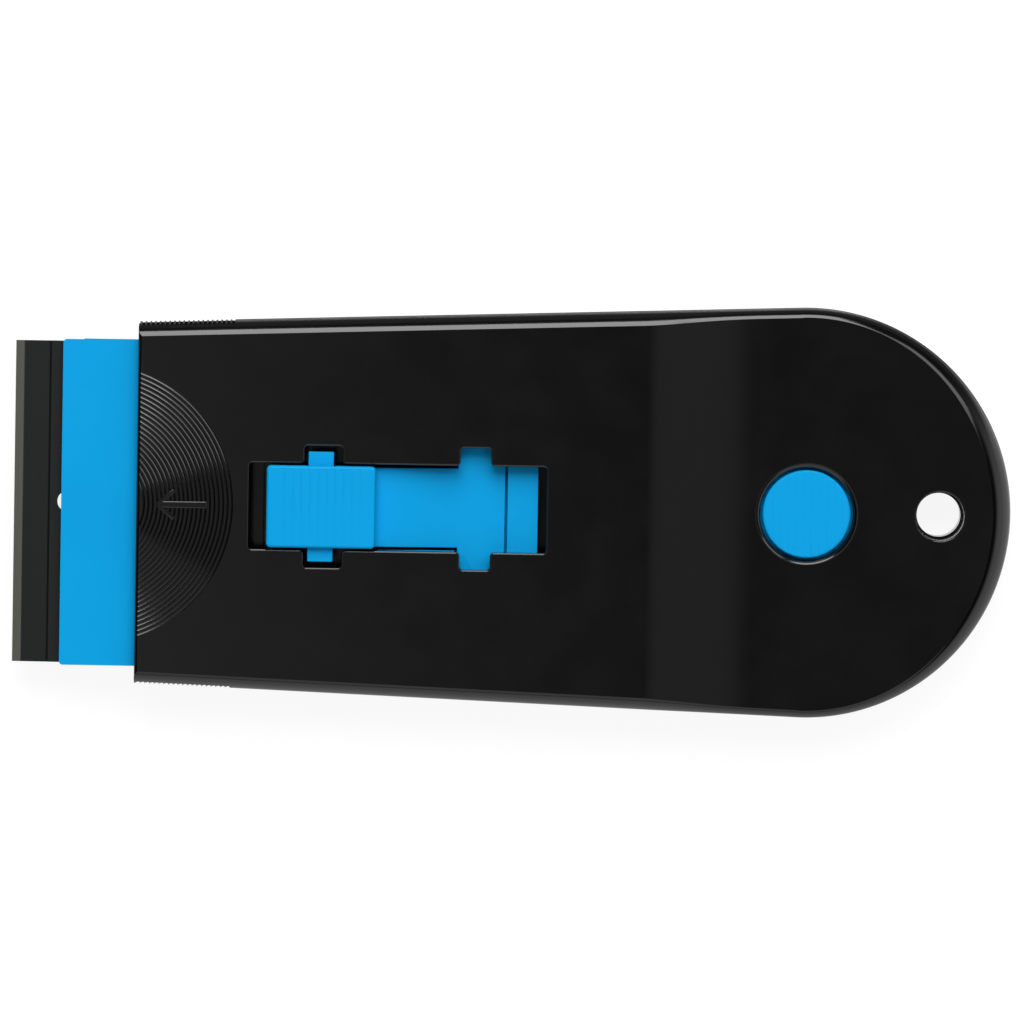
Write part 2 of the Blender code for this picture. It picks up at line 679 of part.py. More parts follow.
def make_lower_shell(parent, material):
    shell = solid("lower_shell", lower_body(), parent, material)

    cavity = bmesh.new()
    prism(cavity, even_outline(SIDE_WALL, SIDE_WALL), FLOOR_WALL, lower_rim + OVERRUN)
    cut(shell, "cut_lower_cavity", cavity)

    mouth = bmesh.new()
    mouth_inset = SIDE_WALL + LIP_PLAY
    mouth_rear_x = SIDE_WALL + SUNK
    corners = [(-OVERRUN, -side_y(-OVERRUN, mouth_inset)), (mouth_rear_x, -side_y(mouth_rear_x, mouth_inset))]
    prism(mouth, corners + mirrored(corners), low_rail_top - SILL_BELOW_RAIL, lower_rim + OVERRUN)
    cut(shell, "cut_lower_mouth", mouth)

    lip = bmesh.new()
    lip_top = lower_rim + LIP_HEIGHT
    wall_ring(lip, (SIDE_WALL - LIP_THICKNESS, SIDE_WALL), (lower_rim - SUNK, lip_top))
    join(shell, "add_lip", lip)

    notches = bmesh.new()
    notch_z = (lower_rim - SEAT_GAP, lip_top + OVERRUN)
    for place in boss_places():
        drum(notches, place, SHELL_BOSS_RADIUS + LIP_PLAY, notch_z)
    tube = HANG_RADIUS + HANG_TUBE_WALL
    drum(notches, (hang_x, 0), tube + LIP_PLAY, notch_z, ROUND_SIDES)
    cut(shell, "cut_lip_notches", notches)

    rails = bmesh.new()
    slab(rails, rail_profile(), rail_inner_y, rail_outer_y)
    slab(rails, rail_profile(), -rail_outer_y, -rail_inner_y)
    rib_x = slot_front_x + CROSS_RIB_INSET
    rib_y = rail_inner_y - CROSS_RIB_END_MARGIN
    block(rails, (rib_x, rib_x + CROSS_RIB_THICKNESS), (-rib_y, rib_y), (FLOOR_WALL / 2, low_rail_top))
    join(shell, "add_rails", rails)

    posts = bmesh.new()
    base = FLOOR_WALL / 2
    for place in boss_places():
        turned(
            posts,
            place,
            (
                (SHELL_BOSS_RADIUS, base),
                (SHELL_BOSS_RADIUS, lower_rim),
                (SHELL_PEG_RADIUS, lower_rim),
                (SHELL_PEG_RADIUS, shell_peg_top),
            ),
            PEG_SIDES,
        )
    drum(posts, (hang_x, 0), tube, (base, lower_rim), ROUND_SIDES)
    post_x = (button_x - post_half_width, button_x + post_half_width)
    block(posts, post_x, (-post_half_width, post_half_width), (base, post_top))
    join(shell, "add_posts", posts)

    holes = bmesh.new()
    drum(holes, (hang_x, 0), HANG_RADIUS, (-OVERRUN, lower_rim + OVERRUN), ROUND_SIDES)
    cut(shell, "cut_lower_holes", holes)
    tooth_bottom = BOTTOM_EDGE_RADIUS + TOOTH_END_MARGIN
    cut(
        shell,
        "cut_lower_teeth",
        tooth_cutters(((SIDE_DRAFT, tooth_bottom), (0.0, lower_rim + SEAT_GAP / 2))),
    )
    return shell


def make_blade(parent, material):
    """A flat strip thinned to an edge along both sides, with a groove beside each and two holes."""
    face_end = BLADE_BEVEL_WIDTH + BLADE_FACE_WIDTH
    half_side = [
        (0.0, BLADE_TIP_THICKNESS / 2),
        (BLADE_BEVEL_WIDTH, BLADE_BEVEL_THICKNESS / 2),
        (face_end, BLADE_FACE_THICKNESS / 2),
        (face_end + BLADE_GROOVE_WIDTH / 2, BLADE_FACE_THICKNESS / 2 - BLADE_GROOVE_DEPTH),
        (face_end + BLADE_GROOVE_WIDTH, BLADE_THICKNESS / 2),
    ]
    lower_front = [(blade_edge_x + out, blade_height - up) for out, up in half_side]
    lower_rear = [(blade_rear_x - out, blade_height - up) for out, up in reversed(half_side)]
    lower = lower_front + lower_rear
    upper = [(x, 2 * blade_height - z) for x, z in reversed(lower)]
    bm = bmesh.new()
    slab(bm, lower + upper, -BLADE_LENGTH / 2, BLADE_LENGTH / 2)
    blade = solid("scraper_blade", bm, parent, material)

    holes = bmesh.new()
    for x in (blade_edge_x + BLADE_HOLE_INSET, blade_rear_x - BLADE_HOLE_INSET):
        drum(holes, (x, 0), BLADE_HOLE_RADIUS, (blade_bottom - OVERRUN, blade_top + OVERRUN), ROUND_SIDES)
    cut(blade, "cut_blade_holes", holes)
    return blade


def clamp_peg_places():
    x = (blade_stop_x + clamp_rear_x) / 2
    return [(x, CLAMP_PEG_SPACING * step) for step in (-1, 0, 1)]


def tongue_peg_places():
    x = (root_front_x + root_rear_x) / 2
    return [(x, TONGUE_PEG_SPACING * side) for side in (-1, 1)]


def head_profile():
    """Lower jaw, seat for the clamp plate and the wall behind it."""
    seat_top = clamp_bottom - SEAT_GAP
    return [
        (lower_jaw_front_x, lower_jaw_bottom),
        (head_rear_x, lower_jaw_bottom),
        (head_rear_x, plate_top),
        (head_wall_x, plate_top),
        (head_wall_x, seat_top),
        (blade_stop_x, seat_top),
        (blade_stop_x, lower_jaw_top),
        (lower_jaw_front_x, lower_jaw_top),
    ]


def prong_outline():
    chamfered = hook_rear_x - HOOK_CHAMFER
    return [
        (carrier_rear_x - PRONG_ROOT, prong_inner_y),
        (hook_front_x, prong_inner_y),
        (hook_front_x, hook_inner_y),
        (chamfered, hook_inner_y),
        (hook_rear_x, hook_inner_y + HOOK_CHAMFER),
        (hook_rear_x, prong_outer_y - HOOK_CHAMFER),
        (chamfered, prong_outer_y),
        (carrier_rear_x - PRONG_ROOT, prong_outer_y),
    ]


def make_blade_carrier(parent, material):
    bm = bmesh.new()
    slab(bm, head_profile(), -holder_half_width, holder_half_width)
    carrier = solid("blade_carrier", bm, parent, material)

    plate = bmesh.new()
    plate_x = (head_rear_x - HEAD_WALL / 2, carrier_rear_x)
    block(plate, plate_x, (-plate_half_width, plate_half_width), (plate_bottom, plate_top))
    join(carrier, "add_plate", plate)

    ledge = bmesh.new()
    ledge_x = (root_front_x - LEDGE_FRONT_MARGIN, carrier_rear_x - LEDGE_FRONT_MARGIN / 2)
    ledge_z = (ledge_bottom, plate_bottom + PLATE_THICKNESS / 2)
    block(ledge, ledge_x, (-root_half_width, root_half_width), ledge_z)
    join(carrier, "add_ledge", ledge)

    fork = bmesh.new()
    prism(fork, prong_outline(), prong_bottom, prong_top)
    prism(fork, mirrored(prong_outline()), prong_bottom, prong_top)
    join(carrier, "add_fork", fork)

    recess = bmesh.new()
    recess_y = root_half_width + SEAT_GAP
    recess_x = (root_front_x - SEAT_GAP, bar_front_x)
    block(recess, recess_x, (-recess_y, recess_y), (ledge_top, plate_top + OVERRUN))
    cut(carrier, "cut_root_recess", recess)

    window = bmesh.new()
    lug_side = LUG_SPAN / 2 + WINDOW_LUG_ROOM
    slit_side = tongue_half_width + TONGUE_SLIT
    side = [
        (head_rear_x + WINDOW_FRONT_MARGIN, -lug_side),
        (pad_rear_x + SLOT_SIDE_PLAY, -lug_side),
        (pad_rear_x + SLOT_SIDE_PLAY, -slit_side),
        (root_front_x, -slit_side),
    ]
    prism(window, side + mirrored(side), ledge_bottom - OVERRUN, plate_top + OVERRUN)
    cut(carrier, "cut_window", window)

    pegs = bmesh.new()
    seat_top = clamp_bottom - SEAT_GAP
    for place in clamp_peg_places():
        drum(pegs, place, PEG_RADIUS, (seat_top - SUNK, plate_top - SEAT_GAP))
    for place in tongue_peg_places():
        drum(pegs, place, PEG_RADIUS, (ledge_top - LEDGE_THICKNESS / 2, root_top))
    join(carrier, "add_stakes", pegs)
    return carrier


def make_clamp_plate(parent, material):
    """The upper jaw, a plate with softened top edges held on the carrier by three stakes."""
    levels = ((0.0, clamp_bottom), (0.0, plate_top - CLAMP_EDGE), (CLAMP_EDGE, plate_top))
    rings = []
    for inset, z in levels:
        side = [
            (holder_front_x + inset, -holder_half_width + inset),
            (clamp_rear_x - inset, -holder_half_width + inset),
        ]
        rings.append([(x, y, z) for x, y in side + mirrored(side)])
    bm = bmesh.new()
    stack(bm, rings)
    clamp = solid("clamp_plate", bm, parent, material)

    holes = bmesh.new()
    for place in clamp_peg_places():
        drum(holes, place, PEG_RADIUS + SEAT_GAP, (clamp_bottom - OVERRUN, plate_top + OVERRUN))
    cut(clamp, "cut_clamp_holes", holes)
    return clamp


def tongue_profile():
    """Flat root, a soft slope up and a flat platform under the pad, all of one thickness."""
    top = [(root_rear_x, root_top)]
    for step in range(SLOPE_STEPS + 1):
        share = step / SLOPE_STEPS
        x = flat_front_x - TONGUE_SLOPE_LENGTH * share
        top.append((x, root_top + TONGUE_RISE * (1 - math.cos(math.pi * share)) / 2))
    top.append((pad_front_x + SEAT_GAP, platform_top))
    return top + [(x, z - TONGUE_THICKNESS) for x, z in reversed(top)]


def make_spring_tongue(parent, material, origin):
    bm = bmesh.new()
    slab(bm, tongue_profile(), -tongue_half_width, tongue_half_width)
    tongue = solid("spring_tongue", bm, parent, material, origin)

    root = bmesh.new()
    block(root, (root_front_x, root_rear_x), (-root_half_width, root_half_width), (root_bottom, root_top))
    join(tongue, "add_root", root, origin)

    crossbar = bmesh.new()
    bar_x = (lug_x - LUG_LENGTH / 2, lug_x + LUG_LENGTH / 2)
    block(crossbar, bar_x, (-LUG_SPAN / 2, LUG_SPAN / 2), (platform_bottom + TONGUE_THICKNESS / 2, lug_top))
    join(tongue, "add_crossbar", crossbar, origin)

    holes = bmesh.new()
    for place in tongue_peg_places():
        drum(holes, place, PEG_RADIUS + SEAT_GAP, (root_bottom - OVERRUN, root_top + OVERRUN))
    cut(tongue, "cut_tongue_holes", holes, origin)
    return tongue


def rib_grooves(bm, x_range, half_width, top, pitch, width, depth):
    """V grooves across a ribbed top, spaced evenly about its middle."""
    middle = sum(x_range) / 2
    count = int((x_range[1] - x_range[0]) / pitch)
    for index in range(count):
        x = middle + pitch * (index - (count - 1) / 2)
        slab(bm, groove(x, top, width, depth), -half_width, half_width)


def make_thumb_pad(parent, material, origin):
    rings = [pad_ring(0.0, pad_bottom)]
    for step in range(EDGE_STEPS + 1):
        angle = math.pi / 2 * step / EDGE_STEPS
        inset = PAD_ROUND * (1 - math.cos(angle))
        rings.append(pad_ring(inset, pad_top - PAD_ROUND * (1 - math.sin(angle))))
    bm = bmesh.new()
    stack(bm, rings)
    pad = solid("thumb_pad", bm, parent, material, origin)

    saddle = bmesh.new()
    saddle_x = (lug_x - LUG_LENGTH / 2 - SEAT_GAP, lug_x + LUG_LENGTH / 2 + SEAT_GAP)
    side = PAD_WIDTH / 2 + OVERRUN
    block(saddle, saddle_x, (-side, side), (pad_bottom - OVERRUN, lug_top + SEAT_GAP))
    cut(pad, "cut_crossbar_saddle", saddle, origin)

    ribs = bmesh.new()
    rib_x = (pad_front_x + PAD_RIB_END_MARGIN, pad_rear_x - PAD_RIB_END_MARGIN)
    rib_y = PAD_WIDTH / 2 - PAD_ROUND
    rib_grooves(ribs, rib_x, rib_y, pad_top, PAD_RIB_PITCH, PAD_RIB_WIDTH, PAD_RIB_DEPTH)
    cut(pad, "cut_pad_ribs", ribs, origin)
    return pad


def pad_ring(inset, z):
    corners = [
        (pad_front_x + inset, -PAD_WIDTH / 2 + inset),
        (pad_rear_x - inset, -PAD_WIDTH / 2 + inset),
    ]
    return [(x, y, z) for x, y in rounded(corners + mirrored(corners), PAD_ROUND)]


def make_release_button(parent, material, origin):
    """A ribbed cap on a flange with two wings, hollow below, with a square socket for its post."""
    bm = bmesh.new()
    profile = [
        (flange_radius, flange_bottom),
        (flange_radius, flange_top),
        (BUTTON_RADIUS, flange_top),
    ]
    for step in range(EDGE_STEPS + 1):
        angle = math.pi / 2 * step / EDGE_STEPS
        radius = BUTTON_RADIUS - BUTTON_ROUND * (1 - math.cos(angle))
        profile.append((radius, button_top - BUTTON_ROUND * (1 - math.sin(angle))))
    turned(bm, (button_x, 0), profile)
    button = solid("release_button", bm, parent, material, origin)

    wings = bmesh.new()
    block(wings, (wing_front_x, wing_rear_x), (-WING_REACH, WING_REACH), (flange_bottom, flange_top))
    join(button, "add_wings", wings, origin)

    hollow = bmesh.new()
    drum(hollow, (button_x, 0), button_hollow_radius, (flange_bottom - OVERRUN, button_ceiling), ROUND_SIDES)
    cut(button, "cut_button_hollow", hollow, origin)

    socket = bmesh.new()
    drum(socket, (button_x, 0), socket_radius, (socket_bottom, button_ceiling + BUTTON_TOP_THICKNESS / 2))
    join(button, "add_socket", socket, origin)

    bore = bmesh.new()
    bore_x = (button_x - socket_half_width, button_x + socket_half_width)
    block(bore, bore_x, (-socket_half_width, socket_half_width), (socket_bottom - OVERRUN, button_ceiling))
    cut(button, "cut_socket", bore, origin)

    ribs = bmesh.new()
    rib_half = BUTTON_RADIUS - BUTTON_ROUND
    rib_grooves(
        ribs,
        (button_x - rib_half, button_x + rib_half),
        BUTTON_RADIUS,
        button_top,
        BUTTON_RIB_PITCH,
        BUTTON_RIB_WIDTH,
        BUTTON_RIB_DEPTH,
    )
    cut(button, "cut_button_ribs", ribs, origin)
    return button


def make_release_spring(parent, material, origin):
    """A coil swept by hand along a helix, with flat ends."""
    low = FLOOR_WALL + SEAT_GAP + SPRING_WIRE_RADIUS
    high = button_ceiling - SEAT_GAP - SPRING_WIRE_RADIUS
    count = SPRING_TURNS * SPRING_STEPS_PER_TURN
    rings = []
    for step in range(count + 1):
        share = step / count
        turn = 2 * math.pi * SPRING_TURNS * share
        ring = []
        for side in range(WIRE_SIDES):
            angle = 2 * math.pi * side / WIRE_SIDES
            radius = spring_radius + SPRING_WIRE_RADIUS * math.cos(angle)
            height = low + (high - low) * share + SPRING_WIRE_RADIUS * math.sin(angle)
            ring.append((button_x + radius * math.cos(turn), radius * math.sin(turn), height))
        rings.append(ring)
    bm = bmesh.new()
    stack(bm, rings)
    return solid("release_spring", bm, parent, material, origin)


def build():
    clear_scene()
    black = plastic("black_plastic", (0.012, 0.012, 0.013), 0.28)
    blue = plastic("blue_plastic", (0.0, 0.31, 0.68), 0.42)
    blade_grey = plastic("blade_plastic", (0.028, 0.03, 0.029), 0.45)
    steel = plastic("spring_steel", (0.55, 0.56, 0.58), 0.3, 1.0)

    frame = empty("tool_frame", (-middle_x, 0, 0))
    make_lower_shell(frame, black)
    make_upper_shell(frame, black)

    slide = empty("carrier_slide", (0, 0, 0), frame)
    make_blade_carrier(slide, blue)
    make_clamp_plate(slide, blue)
    make_blade(slide, blade_grey)

    hinge = (tongue_hinge_x, 0, (root_top + root_bottom) / 2)
    make_spring_tongue(slide, blue, hinge)
    make_thumb_pad(slide, blue, hinge)

    button_axis = (button_x, 0, flange_bottom)
    make_release_button(frame, blue, button_axis)
    make_release_spring(frame, steel, button_axis)


build()
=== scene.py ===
import math

import bmesh
import bpy
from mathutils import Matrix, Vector


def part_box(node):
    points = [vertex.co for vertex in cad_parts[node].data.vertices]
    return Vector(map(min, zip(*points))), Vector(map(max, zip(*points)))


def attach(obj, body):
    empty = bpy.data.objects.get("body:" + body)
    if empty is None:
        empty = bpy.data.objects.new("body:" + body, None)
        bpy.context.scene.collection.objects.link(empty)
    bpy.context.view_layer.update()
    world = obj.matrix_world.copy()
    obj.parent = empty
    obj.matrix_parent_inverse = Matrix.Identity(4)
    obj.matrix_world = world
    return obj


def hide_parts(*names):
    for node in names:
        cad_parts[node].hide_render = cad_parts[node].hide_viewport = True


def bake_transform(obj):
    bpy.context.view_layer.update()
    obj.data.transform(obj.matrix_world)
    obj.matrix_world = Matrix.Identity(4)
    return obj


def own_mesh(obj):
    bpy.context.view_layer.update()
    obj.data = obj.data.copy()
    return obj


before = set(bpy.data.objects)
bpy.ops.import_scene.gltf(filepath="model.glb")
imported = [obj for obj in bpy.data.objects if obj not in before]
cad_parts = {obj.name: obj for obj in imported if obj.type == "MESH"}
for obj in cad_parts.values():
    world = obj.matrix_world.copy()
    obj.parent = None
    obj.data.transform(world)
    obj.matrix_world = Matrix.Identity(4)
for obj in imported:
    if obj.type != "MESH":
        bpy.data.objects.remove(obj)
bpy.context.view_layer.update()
mm = 0.001

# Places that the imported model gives
topLow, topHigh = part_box("upper_shell")
baseLow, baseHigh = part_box("lower_shell")
springLow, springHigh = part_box("release_spring")
buttonLow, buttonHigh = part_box("release_button")
bladeLow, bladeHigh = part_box("scraper_blade")
clampLow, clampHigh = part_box("clamp_plate")
carrierLow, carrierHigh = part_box("blade_carrier")
tongueLow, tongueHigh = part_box("spring_tongue")
padLow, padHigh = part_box("thumb_pad")
mouthX = topLow.x
buttonX = (springLow.x + springHigh.x) / 2
rearRadius = baseHigh.x - buttonX

# What several pieces share. Cutters run a whole mm past what they cut
baseRim = 3.85 * mm
rootTop = 7.2 * mm
overlap = 0.5 * mm  # how deep fused blocks reach into each other
near = 0.01 * mm  # vertices closer than this to a plane lie in it
margin = 0.05 * mm
facingUp = 0.9  # how upright a normal is for its face to count as level

# A circle of three sides and radius 1 is this high, and this wide on each side
triangleHeight = 1.5
triangleHalf = math.sin(math.pi / 3)

# The handle's plan, which both shells follow
handle = {
    "mouthHalfWidth": 21.45 * mm,
    "roundSides": 240,
    "sideWall": 1.7 * mm,
    "overrun": 3.0 * mm,
    "seatGap": 0.3 * mm,
}
mouthToButton = buttonX - mouthX
lean = math.asin(rearRadius / math.hypot(mouthToButton, handle["mouthHalfWidth"]))
lean -= math.atan2(handle["mouthHalfWidth"], mouthToButton)


def sideY(x, inset):
    return handle["mouthHalfWidth"] + (x - mouthX) * math.tan(lean) - inset / math.cos(lean)


# Small helpers for selecting and for finishing what a primitive started
def leaveEdit():
    bpy.ops.object.mode_set(mode="OBJECT")


def putDown():
    if bpy.context.object and bpy.context.object.mode != "OBJECT":
        leaveEdit()
    for item in list(bpy.context.selected_objects):
        item.select_set(False)


def takeUp(piece):
    putDown()
    piece.select_set(True)
    bpy.context.view_layer.objects.active = piece


def settle(name):
    piece = bpy.context.object
    piece.name = name
    piece.data.name = name
    bpy.ops.object.transform_apply(location=True, rotation=True, scale=True)
    return piece


def edit(piece):
    takeUp(piece)
    bpy.ops.object.mode_set(mode="EDIT")
    bpy.ops.mesh.select_all(action="SELECT")


def pick(piece, kind, test):
    bpy.ops.mesh.select_mode(type=kind)
    bpy.ops.mesh.select_all(action="DESELECT")
    mesh = bmesh.from_edit_mesh(piece.data)
    mesh.normal_update()
    items = {"VERT": mesh.verts, "EDGE": mesh.edges, "FACE": mesh.faces}[kind]
    for item in items:
        if test(item):
            item.select_set(True)
    mesh.select_flush_mode()
    bmesh.update_edit_mesh(piece.data)


def middle(edge):
    return (edge.verts[0].co + edge.verts[1].co) / 2


def extrudeUp(height):
    bpy.ops.mesh.extrude_region_move(TRANSFORM_OT_translate={"value": (0, 0, height)})


def resize(factors, centre):
    bpy.ops.transform.resize(value=factors, center_override=centre)


def uprightLength(edge):
    return abs((edge.verts[0].co - edge.verts[1].co).z)


def cutAcross(stations):
    # New edges across the whole mesh, which stays in one piece
    for x in stations:
        bpy.ops.mesh.select_all(action="SELECT")
        bpy.ops.mesh.bisect(plane_co=(x, 0, 0), plane_no=(1, 0, 0))


def mirror(piece, signs):
    edit(piece)
    resize(signs, (0, 0, 0))
    leaveEdit()


def turnOutwards(piece):
    edit(piece)
    bpy.ops.mesh.remove_doubles(threshold=0.0005 * mm)
    bpy.ops.mesh.normals_make_consistent(inside=False)
    leaveEdit()


def applyModifier(piece, modifier):
    takeUp(piece)
    bpy.ops.object.modifier_apply(modifier=modifier.name)


def combine(piece, other, operation):
    modifier = piece.modifiers.new("combine", "BOOLEAN")
    modifier.operation = operation
    modifier.solver = "EXACT"
    modifier.object = other
    applyModifier(piece, modifier)
    bpy.data.objects.remove(other, do_unlink=True)


def carve(piece, *cutters):
    for cutter in cutters:
        combine(piece, cutter, "DIFFERENCE")


def fuse(piece, *others):
    for other in others:
        combine(piece, other, "UNION")


def soften(piece, width, segments=2, angle=40):
    # Rounds every edge that is sharper than the angle, as a mould does
    modifier = piece.modifiers.new("soften", "BEVEL")
    modifier.width = width
    modifier.segments = segments
    modifier.limit_method = "ANGLE"
    modifier.angle_limit = math.radians(angle)
    modifier.use_clamp_overlap = True
    applyModifier(piece, modifier)


def roundWeighted(piece, width, segments, shape=0.5):
    # Rounds the edges that carry a bevel weight, by that share of the width
    modifier = piece.modifiers.new("edgeRound", "BEVEL")
    modifier.limit_method = "WEIGHT"
    modifier.width = width
    modifier.profile = shape
    modifier.segments = segments
    modifier.use_clamp_overlap = False
    applyModifier(piece, modifier)


def smooth(piece, angle=32):
    # Faces with hollow outlines are split, so that they shade evenly
    edit(piece)
    bpy.ops.mesh.vert_connect_concave()
    leaveEdit()
    bpy.ops.object.shade_smooth_by_angle(angle=math.radians(angle))
    modifier = piece.modifiers.new("evenNormals", "WEIGHTED_NORMAL")
    modifier.keep_sharp = True
    modifier.weight = 100
    applyModifier(piece, modifier)
    putDown()


def box(name, low, high):
    putDown()
    low, high = Vector(low), Vector(high)
    bpy.ops.mesh.primitive_cube_add(size=1, location=(low + high) / 2, scale=high - low)
    return settle(name)


def span(name, x, half, z):
    # A block across the middle of the tool, its x counted from the mouth
    return box(name, (mouthX + x[0], -half, z[0]), (mouthX + x[1], half, z[1]))


def drum(name, place, radius, low, high, sides=64):
    putDown()
    bpy.ops.mesh.primitive_cylinder_add(
        vertices=sides, radius=radius, depth=high - low, location=(*place, (low + high) / 2)
    )
    return settle(name)


def turned(name, place, profile, sides=128):
    # A turned shape: a disc at the first radius and height, extruded and resized along the rest
    putDown()
    radius, height = profile[0]
    bpy.ops.mesh.primitive_circle_add(
        vertices=sides, radius=radius, fill_type="NGON", location=(*place, height)
    )
    piece = settle(name)
    edit(piece)
    bpy.ops.mesh.select_mode(type="FACE")
    for newRadius, newHeight in profile[1:]:
        extrudeUp(newHeight - height)
        ratio = newRadius / radius
        resize((ratio, ratio, 1), (*place, newHeight))
        radius, height = newRadius, newHeight
    leaveEdit()
    turnOutwards(piece)
    return piece


def handlePlan(name, inset, height, front):
    # The flat plan: a disc cut at the tangent line, its cut edge drawn out to the front
    putDown()
    radius = rearRadius - inset
    tangentX = buttonX - radius * math.sin(lean)
    bpy.ops.mesh.primitive_circle_add(
        vertices=handle["roundSides"], radius=radius, fill_type="NGON", location=(buttonX, 0, height)
    )
    piece = settle(name)
    edit(piece)
    bpy.ops.mesh.bisect(plane_co=(tangentX, 0, height), plane_no=(1, 0, 0), clear_inner=True)
    bpy.ops.mesh.extrude_edges_move(TRANSFORM_OT_translate={"value": (front - tangentX, 0, 0)})
    spread = sideY(front, inset) / (radius * math.cos(lean))
    resize((1, spread, 1), (front, 0, height))
    bpy.ops.mesh.select_mode(type="FACE")
    bpy.ops.mesh.select_all(action="SELECT")
    bpy.ops.mesh.normals_make_consistent(inside=False)
    bpy.ops.mesh.dissolve_faces()
    return piece


def handleBlock(name, inset, low, high, front):
    piece = handlePlan(name, inset, low, front)
    extrudeUp(high - low)
    leaveEdit()
    turnOutwards(piece)
    return piece


def wedge(name, inset, low, high, front, rear):
    # A block between the two leaning sides of the handle
    piece = box(name, (front, -1, low), (rear, 1, high))
    edit(piece)
    for x in (front, rear):
        pick(piece, "FACE", lambda face, x=x: abs(face.calc_center_median().x - x) < near)
        resize((1, sideY(x, inset), 1), (x, 0, 0))
    leaveEdit()
    return piece


def cutFlat(piece, x):
    # Trims everything ahead of one place along the tool and closes the cut
    edit(piece)
    bpy.ops.mesh.bisect(plane_co=(x, 0, 0), plane_no=(1, 0, 0), use_fill=True, clear_inner=True)
    leaveEdit()


def arrayAlong(piece, count, step):
    modifier = piece.modifiers.new("row", "ARRAY")
    modifier.count = count
    modifier.use_relative_offset = False
    modifier.use_constant_offset = True
    modifier.constant_offset_displace = step
    modifier.use_merge_vertices = False
    applyModifier(piece, modifier)
    return piece


# Upper shell of the housing
upper = {
    "rimStep": 0.15 * mm,
    "land": 0.12 * mm,
    "lean": 0.05 * mm,
    "sideTilt": 0.5,
    "frontRound": 1.7 * mm,
    "creaseRound": 1.45 * mm,
    "rearRound": 0.85 * mm,
    "tipRound": 2.1 * mm,
    "roundShape": 0.38,
    "roundSegments": 14,
    "mouthRound": 0.5 * mm,
    "mouthLift": 0.003 * mm,
    "crease": 60.0 * mm,
    "rampLength": 13.2 * mm,
    "rampEaseIn": 0.3,
    "rampEaseOut": 0.68,
    "rampSteps": 20,
    "drop": 1.0 * mm,
    "frontRoof": 1.8 * mm,
    "rearRoof": 1.6 * mm,
    "lipRebate": 0.8 * mm,
    "lipRebateTop": 5.15 * mm,
    "pocketRear": 66.1 * mm,
    "pocketInset": 1.9 * mm,
}


def rampShare(x):
    # An even slope that eases in at the crease and out at the back
    along = min(max((x - mouthX - upper["crease"]) / upper["rampLength"], 0), 1)
    easeIn, easeOut = upper["rampEaseIn"], upper["rampEaseOut"]
    steepness = 1 / (1 - (easeIn + easeOut) / 2)
    if along < easeIn:
        return steepness * along**2 / (2 * easeIn)
    if along > 1 - easeOut:
        return 1 - steepness * (1 - along) ** 2 / (2 * easeOut)
    return steepness * (along - easeIn / 2)


def roofRound(x):
    # How far the round along the roof reaches: less behind the ramp, most at the very end
    towardsCrease = min(max((x - mouthX) / upper["crease"], 0), 1)
    towardsTip = max(x - buttonX, 0) / rearRadius
    reach = upper["frontRound"] + (upper["creaseRound"] - upper["frontRound"]) * towardsCrease
    reach += (upper["rearRound"] - upper["creaseRound"]) * rampShare(x)
    return reach + (upper["tipRound"] - upper["rearRound"]) * towardsTip**2


def upperOutside():
    rim, roof = topLow.z, topHigh.z
    piece = handlePlan("housingTop", upper["rimStep"], rim, mouthX - handle["overrun"])
    extrudeUp(upper["land"])
    bpy.ops.mesh.inset(thickness=upper["lean"], depth=roof - rim - upper["land"], use_even_offset=True)

    # The roof comes down behind the crease in small steps, each one lowering all that lies behind it
    stations = [
        mouthX + upper["crease"] + upper["rampLength"] * step / upper["rampSteps"]
        for step in range(upper["rampSteps"] + 1)
    ]
    cutAcross(stations)
    for before, x in zip(stations, stations[1:]):
        fall = upper["drop"] * (rampShare(x) - rampShare(before))
        pick(piece, "VERT", lambda v, x=x: v.co.x > x - margin and v.co.z > rim + mm)
        bpy.ops.transform.translate(value=(0, 0, -fall))

    # The roof's edge falls away in a flattened round
    mesh = bmesh.from_edit_mesh(piece.data)
    mesh.normal_update()
    weights = mesh.edges.layers.float.new("bevel_weight_edge")
    for edge in mesh.edges:
        ups = sorted(face.normal.z for face in edge.link_faces)
        roofToSide = len(ups) == 2 and ups[1] > facingUp and ups[0] < upper["sideTilt"]
        if roofToSide and middle(edge).z > rim + mm:
            edge[weights] = roofRound(middle(edge).x) / upper["tipRound"]
    bmesh.update_edit_mesh(piece.data)
    leaveEdit()
    turnOutwards(piece)
    roundWeighted(piece, upper["tipRound"], upper["roundSegments"], upper["roundShape"])
    cutFlat(piece, mouthX)
    return piece


def mouthEdgeCutter():
    # What lies outside a quarter round along the roof's front edge
    radius, out = upper["mouthRound"], topHigh.y + mm
    centre = (mouthX + radius, 0, topHigh.z - radius + upper["mouthLift"])
    piece = box("mouthEdgeCutter", (mouthX - mm, -out, centre[2]), (centre[0], out, topHigh.z + mm))
    putDown()
    bpy.ops.mesh.primitive_cylinder_add(
        vertices=48, radius=radius, depth=2 * out + mm, location=centre, rotation=(math.pi / 2, 0, 0)
    )
    carve(piece, settle("mouthRound"))
    return piece


